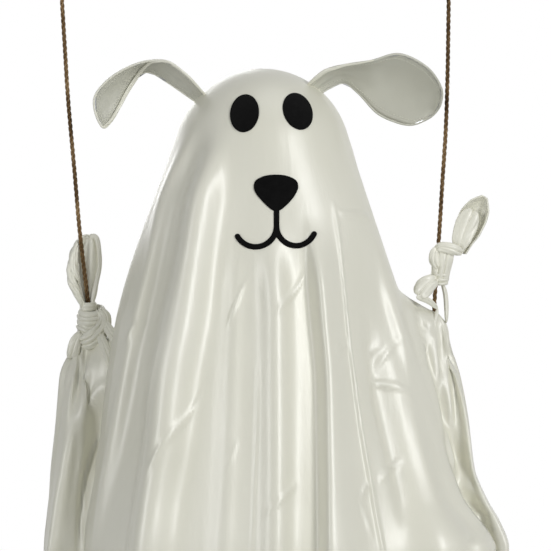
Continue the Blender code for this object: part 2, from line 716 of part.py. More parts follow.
def turned(name, centre, profile, material, sides=12):
    """A solid turned about an upright axis from (radius, height) pairs."""
    rings = [[Vector((centre[0] + r * math.cos(2 * math.pi * k / sides),
                      centre[1] + r * math.sin(2 * math.pi * k / sides), z))
              for k in range(sides)] for r, z in profile]
    return ring_loft(name, rings, material)


def rope_points(route):
    """The rope's centreline in world places."""
    return smooth_route([place(*p) for p in route], ROPE_POINT_SPACING)


def build_rope(side, route, sheet, material):
    """One rope with its stop knot under the seat, and its way through the tied cloth."""
    points = rope_points(route)
    tube(f"{side}_rope", points, ROPE_RADIUS, material)
    boolean(sheet, pipe(f"{side}_channel_guide", points, ROPE_RADIUS + ROPE_CLEARANCE), "DIFFERENCE")
    top = points[-1].z - GAP
    profile = [(STOP_KNOT_RADIUS * r, top - STOP_KNOT_HEIGHT * h) for r, h in
               ((0.55, 1.0), (0.85, 0.88), (1.0, 0.66), (0.86, 0.5), (1.0, 0.34), (0.85, 0.12), (0.5, 0.0))]
    turned(f"{side}_stop_knot", (points[-1].x, 0.0), profile, material)


def build_hanger(side, route, rope_material, hook_material):
    """The loop tied in a rope's top end, and the steel hook that it hangs on."""
    end = place(*route[0])
    knot_low = end.z + GAP
    profile = [(TOP_KNOT_RADIUS * r, knot_low + TOP_KNOT_HEIGHT * h) for r, h in
               ((0.5, 0.0), (0.9, 0.1), (1.0, 0.3), (0.85, 0.5), (1.0, 0.7), (0.9, 0.9), (0.55, 1.0))]
    knot = turned(f"{side}_top_loop", (end.x, 0.0), profile, rope_material)
    base = knot_low + TOP_KNOT_HEIGHT - 0.003
    loop = []
    for k in range(TOP_LOOP_STEPS + 1):
        turn = math.pi * (-0.30 + 1.60 * k / TOP_LOOP_STEPS)
        loop.append(Vector((end.x + TOP_LOOP_HALF_WIDTH * math.cos(turn), 0.0,
                            base + TOP_LOOP_HEIGHT / 2 * (0.92 + math.sin(turn)))))
    boolean(knot, pipe(f"{side}_loop_guide_of_rope", loop, ROPE_RADIUS), "UNION")
    inner_top = base + TOP_LOOP_HEIGHT / 2 * 1.92 - ROPE_RADIUS
    low_bend = inner_top - GAP - HOOK_WIRE_RADIUS + HOOK_BEND_RADIUS
    hook_wire(side, end.x, low_bend, hook_material)


def hook_wire(side, across, low_bend, material):
    """An S-shaped steel hook in the plane across the loop: the lower bend holds the loop."""
    top_bend = -HOOK_WIRE_RADIUS - HOOK_BEND_RADIUS
    turns = [math.pi * (1.15 * k / HOOK_TURN_STEPS - 0.15) for k in range(HOOK_TURN_STEPS + 1)]
    wire = [(math.cos(t), top_bend + HOOK_BEND_RADIUS * math.sin(t)) for t in turns]
    wire += [(-math.cos(t), low_bend - HOOK_BEND_RADIUS * math.sin(t)) for t in turns[::-1]]
    points = [Vector((across, HOOK_BEND_RADIUS * y, z)) for y, z in wire]
    tube(f"{side}_hook", points, HOOK_WIRE_RADIUS, material)


def ear_frame(near, far):
    """Stations along an ear: for each, its two edge points and its outward face direction."""
    near_line = smooth_route([place(*p) for p in near], 1.0 / 200)
    far_line = smooth_route([place(*p) for p in far], 1.0 / 200)
    stations = []
    for k in range(EAR_STATIONS):
        share = k / (EAR_STATIONS - 1)
        ends = [line[min(round(share * (len(line) - 1)), len(line) - 1)] for line in (near_line, far_line)]
        stations.append(ends)
    return stations


def build_ear(side, near, far, sheet, head, materials):
    """One ear: a satin cover and a lining on each side of a rim wire whose ends go into the head."""
    stations = ear_frame(near, far)
    centre = Vector((0.0, 0.0, height(HEAD_CENTRE_DROP)))
    grid, normals = [], []
    for i, (a, b) in enumerate(stations[:-1]):
        nxt = stations[i + 1]
        before = stations[max(i - 1, 0)]
        run = (nxt[0] + nxt[1] - before[0] - before[1]).normalized()
        across = (b - a).normalized()
        insets = [EAR_INSET / max(across.cross((nxt[e] - before[e]).normalized()).length, 0.35)
                  for e in (0, 1)]
        width = max((b - a).length - sum(insets), 0.002)
        up = run.cross(across).normalized() * (1 if side == "right" else -1)
        shares = [j / EAR_COLUMNS for j in range(EAR_COLUMNS + 1)]
        grid.append([a + across * (insets[0] + width * t) + up * EAR_CAMBER * width * 4 * t * (1 - t)
                     for t in shares])
        normals.append([up] * len(shares))
    for layer, near_off, far_off, material in (("cover", GAP, GAP + EAR_WALL, materials[0]),
                                               ("lining", -GAP - EAR_WALL, -GAP, materials[1])):
        made = outward(offset_shell(f"{side}_ear_{layer}", grid, normals, near_off, far_off,
                                    crown=False, material=material))
        boolean(made, ball_cutter(f"{side}_{layer}_head_guide", centre, EAR_CLEAR_RADIUS), "DIFFERENCE")
    rim = [s[0] for s in stations] + [s[1] for s in stations[-2::-1]]
    prongs = [(centre - rim[end]).normalized() for end in (0, -1)]
    wire, bore = ([rim[0] + prongs[0] * reach, *rim, rim[-1] + prongs[1] * reach]
                  for reach in (PRONG_LENGTH, PRONG_LENGTH + GAP))
    tube(f"{side}_ear_wire", wire, EAR_WIRE_RADIUS, materials[2], sides=1)
    guide = pipe(f"{side}_wire_guide", bore, EAR_WIRE_RADIUS + GAP)
    for target in (sheet, head):
        boolean(target, guide, "DIFFERENCE")


def ball_cutter(name, centre, radius):
    """A ball to cut with."""
    mesh = bpy.data.meshes.new(name)
    work = bmesh.new()
    bmesh.ops.create_icosphere(work, subdivisions=4, radius=radius)
    bmesh.ops.translate(work, verts=work.verts, vec=centre)
    work.to_mesh(mesh)
    work.free()
    made = bpy.data.objects.new(name, mesh)
    bpy.context.scene.collection.objects.link(made)
    return made


def prism(name, outline):
    """A bar along the view through an outline given as (across, drop) pairs."""
    rings = [[Vector((x, y, height(drop))) for x, drop in outline] for y in (-FELT_CUT_NEAR, 0.0)]
    return ring_loft(name, rings)


def eye_outline(eye):
    """An eye's leaning oval."""
    across, drop, lean = eye
    made = []
    for k in range(EYE_POINTS):
        turn = 2 * math.pi * k / EYE_POINTS
        x, up = EYE_HALF_WIDTH * math.cos(turn), EYE_HALF_HEIGHT * math.sin(turn)
        made.append((across + x * math.cos(lean) + up * math.sin(lean),
                     drop - up * math.cos(lean) + x * math.sin(lean)))
    return made


def nose_outline():
    """The nose's rounded triangle, smoothed through its corner points."""
    points = [Vector((x, drop, 0.0)) for x, drop in NOSE_OUTLINE]
    count = len(points)
    made = []
    for k in range(count):
        a, b, c, d = (points[(k + i) % count] for i in (-1, 0, 1, 2))
        for t in (0.0, 0.5):
            p = 0.5 * (2 * b + (c - a) * t + (2 * a - 5 * b + 4 * c - d) * t ** 2
                       + (3 * b - a - 3 * c + d) * t ** 3)
            made.append((p.x, p.y))
    return made


def mouth_outline():
    """The mouth: a stem that splits in two arcs with round ends."""
    join_x, join_drop = MOUTH_JOIN
    half = MOUTH_STROKE / 2

    def arc(side, radius, sweep, off, backwards=False):
        centre = join_x + side * radius
        turns = [sweep * k / MOUTH_STEPS for k in range(MOUTH_STEPS + 1)]
        line = [(centre - side * (radius + off) * math.cos(t), join_drop + (radius + off) * math.sin(t))
                for t in turns]
        return line[::-1] if backwards else line

    def cap(side, radius, sweep, backwards=False):
        centre = join_x + side * radius
        made = []
        for k in range(1, 6):
            turn = math.pi * k / 6
            out = radius + half * math.cos(turn)
            on = half * math.sin(turn)
            made.append((centre - side * (out * math.cos(sweep) - on * math.sin(sweep)),
                         join_drop + out * math.sin(sweep) + on * math.cos(sweep)))
        return made[::-1] if backwards else made

    outer_right = [p for p in arc(1, MOUTH_RIGHT_RADIUS, MOUTH_RIGHT_SWEEP, half) if p[0] > join_x]
    inner_right = [p for p in arc(1, MOUTH_RIGHT_RADIUS, MOUTH_RIGHT_SWEEP, -half, True)]
    inner_left = [p for p in arc(-1, MOUTH_LEFT_RADIUS, MOUTH_LEFT_SWEEP, -half)]
    outer_left = [p for p in arc(-1, MOUTH_LEFT_RADIUS, MOUTH_LEFT_SWEEP, half, True) if p[0] < join_x]
    stem = [(join_x + half, MOUTH_STEM_TOP + half), (join_x + half * 0.7, MOUTH_STEM_TOP + 0.0008),
            (join_x - half * 0.7, MOUTH_STEM_TOP + 0.0008), (join_x - half, MOUTH_STEM_TOP + half)]
    return (outer_right + cap(1, MOUTH_RIGHT_RADIUS, MOUTH_RIGHT_SWEEP) + inner_right + stem
            + inner_left + cap(-1, MOUTH_LEFT_RADIUS, MOUTH_LEFT_SWEEP, True) + outer_left)


def build_face(columns, normals, material):
    """The felt pieces, cut from a layer that lies on the front of the sheet."""
    picked = [k for k, c in enumerate(columns)
              if c[DOME_ROWS - 2].y < -0.02 and abs(c[DOME_ROWS - 2].x) < FACE_HALF_WIDTH]
    face_columns = [columns[k][:FACE_ROWS] for k in picked]
    face_normals = [normals[k][:FACE_ROWS] for k in picked]
    for name, outline in (("left_eye", eye_outline(LEFT_EYE)), ("right_eye", eye_outline(RIGHT_EYE)),
                          ("nose", nose_outline()), ("mouth", mouth_outline())):
        felt = outward(offset_shell(name, face_columns, face_normals, FELT_GAP,
                                    FELT_GAP + FELT_THICKNESS, crown=False, material=material))
        boolean(felt, prism(f"{name}_outline_guide", outline), "INTERSECT")


def main():
    """Builds every piece."""
    for made in list(bpy.data.objects):
        bpy.data.objects.remove(made)
    white = satin("white_satin", (0.80, 0.81, 0.76), 0.35)
    lining = satin("ear_lining", (0.50, 0.50, 0.44), 0.45)
    felt = satin("black_felt", (0.004, 0.004, 0.004), 0.95)
    jute = satin("brown_jute", (0.13, 0.08, 0.035), 0.9)
    pine = satin("pine", (0.62, 0.42, 0.22), 0.55)
    foam = satin("white_foam", (0.85, 0.85, 0.83), 0.85)
    steel = satin("zinc_steel", (0.55, 0.56, 0.58), 0.3, 1.0)
    sheet, columns, normals = build_sheet(white)
    head = build_head(columns, foam)
    build_post(pine)
    build_seat(pine)
    build_screw(steel)
    for side, route in (("left", LEFT_ROPE_ROUTE), ("right", RIGHT_ROPE_ROUTE)):
        build_rope(side, route, sheet, jute)
        build_hanger(side, route, jute, steel)
    for side, near, far in (("left", LEFT_EAR_NEAR, LEFT_EAR_FAR),
                            ("right", RIGHT_EAR_NEAR, RIGHT_EAR_FAR)):
        build_ear(side, near, far, sheet, head, (white, lining, steel))
    build_face(columns, normals, felt)


main()
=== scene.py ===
"""Looks of a dog-eared satin ghost that hangs on two ropes as if it sat on a swing.

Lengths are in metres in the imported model's frame: +Z is up, the front faces -Y, and a drop is a
distance below the sheet's crown.
"""

import bisect
import logging
import math
from dataclasses import dataclass, field, replace
from enum import Enum, IntEnum

import bmesh
import bpy
import numpy as np
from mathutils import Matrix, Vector
from mathutils.bvhtree import BVHTree
from mathutils.geometry import delaunay_2d_cdt


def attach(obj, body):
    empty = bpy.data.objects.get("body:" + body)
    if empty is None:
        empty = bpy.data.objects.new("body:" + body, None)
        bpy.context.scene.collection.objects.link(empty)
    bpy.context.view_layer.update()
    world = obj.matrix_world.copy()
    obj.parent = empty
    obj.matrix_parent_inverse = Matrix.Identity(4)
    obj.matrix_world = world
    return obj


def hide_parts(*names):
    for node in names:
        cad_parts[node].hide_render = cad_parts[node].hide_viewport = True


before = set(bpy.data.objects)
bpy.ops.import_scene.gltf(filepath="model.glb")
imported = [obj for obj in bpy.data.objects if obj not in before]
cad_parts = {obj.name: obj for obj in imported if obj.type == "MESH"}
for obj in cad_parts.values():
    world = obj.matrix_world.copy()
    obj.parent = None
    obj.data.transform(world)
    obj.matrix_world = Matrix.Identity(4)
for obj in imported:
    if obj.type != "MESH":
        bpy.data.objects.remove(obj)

log = logging.getLogger("ghost")

HANG_TO_CROWN = 0.19
CROWN_RADIUS = 0.1179
TAKEOFF_FRONT = math.radians(12)
TAKEOFF_SIDE = math.radians(19)
KNEE_DROP = 0.345
FOOT_DROP = 0.63
HEM_DROP = 0.78
PLACING_GAP = 0.0003

Pair = tuple[float, float]
Triple = tuple[float, float, float]


class Side(Enum):
    """The two sides of the figure, as seen from the front."""

    LEFT = "left"
    RIGHT = "right"


NECK_DROPS = {Side.LEFT: 0.369, Side.RIGHT: 0.34}


def height(drop: float) -> float:
    """World height of a point that lies this far below the crown."""
    return -HANG_TO_CROWN - drop


def place(across: float, back: float, drop: float) -> Vector:
    """World point from its place across, towards the back and below the crown."""
    return Vector((across, back, height(drop)))


def smoothstep(low: float, high: float, value: np.ndarray | float) -> np.ndarray | float:
    """A soft step from 0 at low to 1 at high."""
    t = np.clip((value - low) / (high - low), 0.0, 1.0)
    return t * t * (3 - 2 * t)


def smooth_route(route: list, count: int, closed: bool = False) -> list[Vector]:
    """Evenly spaced points on a smooth curve through a route's own points.

    Args:
        route: the points that the curve goes through.
        count: how many points to give back.
        closed: whether the curve goes on from its last point to its first.

    Returns:
        The points, first and last included where the curve is open.
    """
    points = [Vector(p) for p in route]
    if closed:
        ends = [points[-1], *points, points[0], points[1]]
    else:
        ends = [2 * points[0] - points[1], *points, 2 * points[-1] - points[-2]]
    dense = []
    for a, b, c, d in zip(ends, ends[1:], ends[2:], ends[3:]):
        for i in range(20):
            t = i / 20
            dense.append(0.5 * (2 * b + (c - a) * t + (2 * a - 5 * b + 4 * c - d) * t ** 2
                                + (3 * b - a - 3 * c + d) * t ** 3))
    dense.append(points[0].copy() if closed else points[-1])
    reach = [0.0]
    for a, b in zip(dense, dense[1:]):
        reach.append(reach[-1] + (b - a).length)
    even = []
    for k in range(count):
        at = reach[-1] * k / (count if closed else count - 1)
        i = min(max(bisect.bisect_right(reach, at), 1), len(dense) - 1)
        share = (at - reach[i - 1]) / max(reach[i] - reach[i - 1], 1e-9)
        even.append(dense[i - 1].lerp(dense[i], share))
    return even


# Materials


def srgb(code: str) -> tuple[float, float, float, float]:
    """Linear colour with alpha from an sRGB hex code such as "eeeeda"."""
    def linear(value: float) -> float:
        return value / 12.92 if value <= 0.04045 else ((value + 0.055) / 1.055) ** 2.4
    return (*(linear(int(code[i:i + 2], 16) / 255) for i in (0, 2, 4)), 1.0)


def add_node(tree: bpy.types.NodeTree, kind: str, inputs: dict | None,
             settings: dict) -> bpy.types.Node:
    """Adds a node to a tree.

    Args:
        tree: the tree that gets the node.
        kind: the node's type.
        inputs: values or sockets for its inputs, by name or place.
        settings: the node's own settings.

    Returns:
        The new node.
    """
    node = tree.nodes.new(kind)
    for key, value in settings.items():
        setattr(node, key, value)
    for key, value in (inputs or {}).items():
        if isinstance(value, bpy.types.NodeSocket):
            tree.links.new(value, node.inputs[key])
        else:
            node.inputs[key].default_value = value
    return node


class NodeSheet:
    """A material's nodes, with short ways to add and join them."""

    def __init__(self, name: str) -> None:
        self.material = bpy.data.materials.new(name)
        self.material.use_nodes = True
        self.tree = self.material.node_tree
        self.shader = self.tree.nodes["Principled BSDF"]
        self.coords = self.tree.nodes.new("ShaderNodeTexCoord").outputs["Object"]

    def add(self, kind: str, inputs: dict | None = None, **settings: object) -> bpy.types.Node:
        """Adds a node, its type given without its "ShaderNode" start."""
        return add_node(self.tree, f"ShaderNode{kind}", inputs, settings)

    def finish(self, **sockets: object) -> bpy.types.Material:
        """Sets or joins the shader's sockets, with _ for a space in each name."""
        for key, value in sockets.items():
            target = self.shader.inputs[key.replace("_", " ")]
            if isinstance(value, bpy.types.NodeSocket):
                self.tree.links.new(value, target)
            else:
                target.default_value = value
        return self.material

    def noise(self, scale: Triple, detail: float = 3.0,
              roughness: float = 0.5) -> bpy.types.NodeSocket:
        """Noise in the object's own coordinates, stretched by a scale for each axis."""
        mapped = self.add("Mapping", {"Vector": self.coords, "Scale": scale})
        made = self.add("TexNoise", {"Vector": mapped.outputs[0], "Scale": 1.0, "Detail": detail,
                                     "Roughness": roughness})
        return made.outputs["Fac"]

    def ramp(self, factor: bpy.types.NodeSocket, *stops: tuple[float, str]) -> bpy.types.NodeSocket:
        """A colour from a factor by stops of (place, hex code)."""
        node = self.add("ValToRGB", {"Fac": factor})
        bar = node.color_ramp.elements
        while len(bar) < len(stops):
            bar.new(0.5)
        for element, (at, code) in zip(bar, stops):
            element.position = at
            element.color = srgb(code)
        return node.outputs["Color"]

    def span(self, factor: bpy.types.NodeSocket, low: float, high: float) -> bpy.types.NodeSocket:
        """A factor taken from 0..1 to low..high."""
        return self.add("MapRange", {"Value": factor, "To Min": low, "To Max": high}).outputs[0]

    def bump(self, factor: bpy.types.NodeSocket, strength: float, distance: float,
             under: bpy.types.NodeSocket | None = None) -> bpy.types.NodeSocket:
        """A bump, on top of another one where given."""
        inputs = {"Height": factor, "Strength": strength, "Distance": distance}
        if under is not None:
            inputs["Normal"] = under
        return self.add("Bump", inputs).outputs[0]


@dataclass(frozen=True)
class SatinFinish:
    """Woven satin with a soft gloss and fine slubs."""

    name: str
    low: str
    high: str
    roughness: float = 0.36
    sheen: float = 0.05

    def material(self) -> bpy.types.Material:
        """Makes the material."""
        nodes = NodeSheet(self.name)
        cloud = nodes.noise((7.0, 7.0, 4.0), 2.0)
        slub = nodes.noise((420.0, 420.0, 16.0), 2.0)
        weft = nodes.noise((30.0, 30.0, 900.0), 1.0)
        streak = nodes.noise((150.0, 150.0, 5.0), 2.0)
        colour = nodes.ramp(cloud, (0.3, self.low), (0.7, self.high))
        rough = nodes.span(slub, self.roughness - 0.05, self.roughness + 0.06)
        fine = nodes.bump(slub, 0.2, 0.0004)
        drawn = nodes.bump(streak, 0.14, 0.0012, fine)
        crumple = nodes.bump(nodes.noise((45.0, 45.0, 14.0), 3.0), 0.12, 0.0025, drawn)
        return nodes.finish(Base_Color=colour, Roughness=rough, Sheen_Weight=self.sheen,
                            Sheen_Roughness=0.4, Specular_IOR_Level=0.8,
                            Normal=nodes.bump(weft, 0.05, 0.0003, crumple))


@dataclass(frozen=True)
class FeltFinish:
    """Pressed wool felt."""

    name: str
    low: str
    high: str

    def material(self) -> bpy.types.Material:
        """Makes the material."""
        nodes = NodeSheet(self.name)
        fibre = nodes.noise((900.0, 900.0, 900.0), 4.0, 0.7)
        clump = nodes.noise((120.0, 120.0, 120.0), 2.0)
        colour = nodes.ramp(clump, (0.35, self.low), (0.7, self.high))
        return nodes.finish(Base_Color=colour, Roughness=0.95, Specular_IOR_Level=0.12,
                            Sheen_Weight=0.04, Sheen_Roughness=0.5,
                            Normal=nodes.bump(fibre, 0.35, 0.0006))


@dataclass(frozen=True)
class JuteFinish:
    """Twisted plant fibre."""

    name: str
    dark: str
    middle: str
    light: str

    def material(self) -> bpy.types.Material:
        """Makes the material."""
        nodes = NodeSheet(self.name)
        fibre = nodes.noise((1100.0, 1100.0, 260.0), 3.0, 0.65)
        patch = nodes.noise((60.0, 60.0, 25.0), 2.0)
        mixed = nodes.add("Math", {0: fibre, 1: patch}, operation="ADD").outputs[0]
        half = nodes.add("Math", {0: mixed, 1: 0.5}, operation="MULTIPLY").outputs[0]
        colour = nodes.ramp(half, (0.36, self.dark), (0.5, self.middle), (0.66, self.light))
        return nodes.finish(Base_Color=colour, Roughness=0.88, Specular_IOR_Level=0.2,
                            Sheen_Weight=0.1, Normal=nodes.bump(fibre, 0.5, 0.0005))


@dataclass(frozen=True)
class PineFinish:
    """Planed pine with its rings along X."""

    name: str
    light: str
    dark: str
    along: Triple = (3.0, 38.0, 38.0)

    def material(self) -> bpy.types.Material:
        """Makes the material."""
        nodes = NodeSheet(self.name)
        mapped = nodes.add("Mapping", {"Vector": nodes.coords, "Scale": self.along})
        rings = nodes.add("TexWave", {"Vector": mapped.outputs[0], "Scale": 1.3, "Distortion": 5.0,
                                      "Detail": 2.0}, bands_direction="Y").outputs["Fac"]
        fibre = nodes.noise(tuple(20 * a for a in self.along), 3.0)
        colour = nodes.ramp(rings, (0.1, self.light), (0.9, self.dark))
        rough = nodes.span(fibre, 0.45, 0.65)
        return nodes.finish(Base_Color=colour, Roughness=rough,
                            Normal=nodes.bump(fibre, 0.2, 0.0004))


@dataclass(frozen=True)
class FoamFinish:
    """White bead foam with the seams between its beads."""

    name: str
    seam: str
    bead: str

    def material(self) -> bpy.types.Material:
        """Makes the material."""
        nodes = NodeSheet(self.name)
        cells = nodes.add("TexVoronoi", {"Vector": nodes.coords, "Scale": 260.0},
                          feature="DISTANCE_TO_EDGE").outputs["Distance"]
        edge = nodes.span(cells, 0.0, 4.0)
        colour = nodes.ramp(edge, (0.0, self.seam), (0.35, self.bead))
        return nodes.finish(Base_Color=colour, Roughness=0.7, Normal=nodes.bump(edge, 0.4, 0.0008))


@dataclass(frozen=True)
class SteelFinish:
    """Zinc-plated steel wire with faint draw marks."""

    name: str
    low: str
    high: str

    def material(self) -> bpy.types.Material:
        """Makes the material."""
        nodes = NodeSheet(self.name)
        marks = nodes.noise((900.0, 900.0, 60.0), 2.0)
        colour = nodes.ramp(marks, (0.3, self.low), (0.7, self.high))
        rough = nodes.span(marks, 0.24, 0.4)
        return nodes.finish(Base_Color=colour, Roughness=rough, Metallic=1.0,
                            Normal=nodes.bump(marks, 0.1, 0.0002))


@dataclass
class Palette:
    """The materials of the whole object."""

    satin: bpy.types.Material = field(init=False)
    lining: bpy.types.Material = field(init=False)
    thread: bpy.types.Material = field(init=False)
    felt: bpy.types.Material = field(init=False)
    jute: bpy.types.Material = field(init=False)
    pine: bpy.types.Material = field(init=False)
    dowel: bpy.types.Material = field(init=False)
    foam: bpy.types.Material = field(init=False)
    steel: bpy.types.Material = field(init=False)

    def __post_init__(self) -> None:
        self.satin = SatinFinish("satin_white", "e6e5d6", "eeede0").material()
        # Painted shade: the lining is the cover's satin with a greyer colour for the shade on the
        # ears' undersides.
        self.lining = SatinFinish("satin_underside_painted_shade", "c5c5b8", "d2d2c6", 0.5, 0.12).material()
        self.thread = SatinFinish("sewing_thread", "dcdccf", "eeeee2", 0.5, 0.1).material()
        self.felt = FeltFinish("felt_black", "020202", "090909").material()
        self.jute = JuteFinish("jute_brown", "281b0e", "745a3a", "b89c74").material()
        self.pine = PineFinish("pine_board", "d9b683", "b98a55").material()
        self.dowel = PineFinish("pine_post", "dcbb8a", "c29563", (38.0, 38.0, 3.0)).material()
        self.foam = FoamFinish("bead_foam", "c9c9c4", "f0f0ec").material()
        self.steel = SteelFinish("zinc_steel", "9a9c9f", "b9bbbe").material()


# Mesh tools


def add_mesh(name: str, points: list | np.ndarray, faces: list, material: bpy.types.Material,
             smooth: bool = True) -> bpy.types.Object:
    """Makes an object from points and faces.

    Args:
        name: the piece's name.
        points: its corners in world places.
        faces: its faces, as lists of corner numbers.
        material: its finish.
        smooth: whether it is shaded smooth.

    Returns:
        The new object.
    """
    mesh = bpy.data.meshes.new(name)
    mesh.from_pydata([tuple(p) for p in points], [], faces)
    mesh.materials.append(material)
    if smooth:
        mesh.shade_smooth()
    made = bpy.data.objects.new(name, mesh)
    bpy.context.scene.collection.objects.link(made)
    log.info("%s: %d faces", name, len(faces))
    return made


def join(name: str, pieces: list[bpy.types.Object]) -> bpy.types.Object:
    """Joins pieces into one object with their faces and materials."""
    work = bmesh.new()
    materials: list[bpy.types.Material] = []
    for piece in pieces:
        first = len(work.faces)
        work.from_mesh(piece.data)
        work.faces.ensure_lookup_table()
        shift = {}
        for k, material in enumerate(piece.data.materials):
            if material not in materials:
                materials.append(material)
            shift[k] = materials.index(material)
        for i in range(first, len(work.faces)):
            work.faces[i].material_index = shift.get(work.faces[i].material_index, 0)
    mesh = bpy.data.meshes.new(name)
    work.to_mesh(mesh)
    work.free()
    for material in materials:
        mesh.materials.append(material)
    made = bpy.data.objects.new(name, mesh)
    bpy.context.scene.collection.objects.link(made)
    for piece in pieces:
        bpy.data.objects.remove(piece)
    return made


def grid_faces(columns: int, rows: int, closed: bool = False) -> list[tuple[int, int, int, int]]:
    """Faces of a grid whose points run down each column in turn."""
    faces = []
    for k in range(columns if closed else columns - 1):
        nxt = (k + 1) % columns
        for i in range(rows - 1):
            faces.append((k * rows + i, k * rows + i + 1, nxt * rows + i + 1, nxt * rows + i))
    return faces


def ring_faces(rings: int, sides: int, closed: bool = False) -> list[tuple[int, ...]]:
    """Faces of a bar made of rings, with its two ends where it isn't closed."""
    faces: list[tuple[int, ...]] = []
    for r in range(rings if closed else rings - 1):
        nxt = (r + 1) % rings
        for k in range(sides):
            m = (k + 1) % sides
            faces.append((r * sides + k, r * sides + m, nxt * sides + m, nxt * sides + k))
    if not closed:
        faces.append(tuple(range(sides))[::-1])
        faces.append(tuple(range((rings - 1) * sides, rings * sides)))
    return faces


def grid_normals(grid: np.ndarray, closed: bool = False) -> np.ndarray:
    """Unit normals of a grid of shape (columns, rows, 3)."""
    down = np.gradient(grid, axis=1)
    if closed:
        along = (np.roll(grid, -1, axis=0) - np.roll(grid, 1, axis=0)) / 2
    else:
        along = np.gradient(grid, axis=0)
    normals = np.cross(down, along)
    return normals / np.maximum(np.linalg.norm(normals, axis=2, keepdims=True), 1e-12)


def face_outwards(made: bpy.types.Object) -> bpy.types.Object:
    """Makes a closed mesh's faces point out."""
    work = bmesh.new()
    work.from_mesh(made.data)
    bmesh.ops.recalc_face_normals(work, faces=work.faces)
    work.to_mesh(made.data)
    work.free()
    return made


def shell_between(name: str, outer: np.ndarray, inner: np.ndarray, material: bpy.types.Material,
                  inner_material: bpy.types.Material | None = None) -> bpy.types.Object:
    """A thin closed wall between two grids of the same shape (columns, rows, 3).

    Args:
        name: the piece's name.
        outer: the wall's outer face.
        inner: its inner face.
        material: its finish.
        inner_material: the inner face's finish where it isn't the same.

    Returns:
        The new object.
    """
    columns, rows = outer.shape[:2]
    points = np.concatenate([outer.reshape(-1, 3), inner.reshape(-1, 3)])
    count = columns * rows
    near = grid_faces(columns, rows)
    faces = list(near) + [tuple(count + i for i in f[::-1]) for f in near]
    rim = [(0, i) for i in range(rows)] + [(k, rows - 1) for k in range(1, columns)]
    rim += [(columns - 1, i)
            for i in range(rows - 2, -1, -1)] + [(k, 0) for k in range(columns - 2, 0, -1)]
    loop = [k * rows + i for k, i in rim]
    for a, b in zip(loop, loop[1:] + loop[:1]):
        faces.append((b, a, count + a, count + b))
    made = add_mesh(name, points, faces, material)
    if inner_material is not None:
        made.data.materials.append(inner_material)
        for polygon in made.data.polygons[len(near):2 * len(near)]:
            polygon.material_index = 1
    return face_outwards(made)


def tube(name: str, middle: list[Vector], radius: float, material: bpy.types.Material,
         sides: int) -> bpy.types.Object:
    """A round bar along points that are already close together."""
    side = Vector((0.31, 0.94, 0.13))
    points, count = [], len(middle)
    for i, at in enumerate(middle):
        run = (middle[min(i + 1, count - 1)] - middle[max(i - 1, 0)]).normalized()
        side = (side - run * side.dot(run)).normalized()
        up = run.cross(side)
        for k in range(sides):
            turn = 2 * math.pi * k / sides
            points.append(at + side * radius * math.cos(turn) + up * radius * math.sin(turn))
    return face_outwards(add_mesh(name, points, ring_faces(count, sides), material))


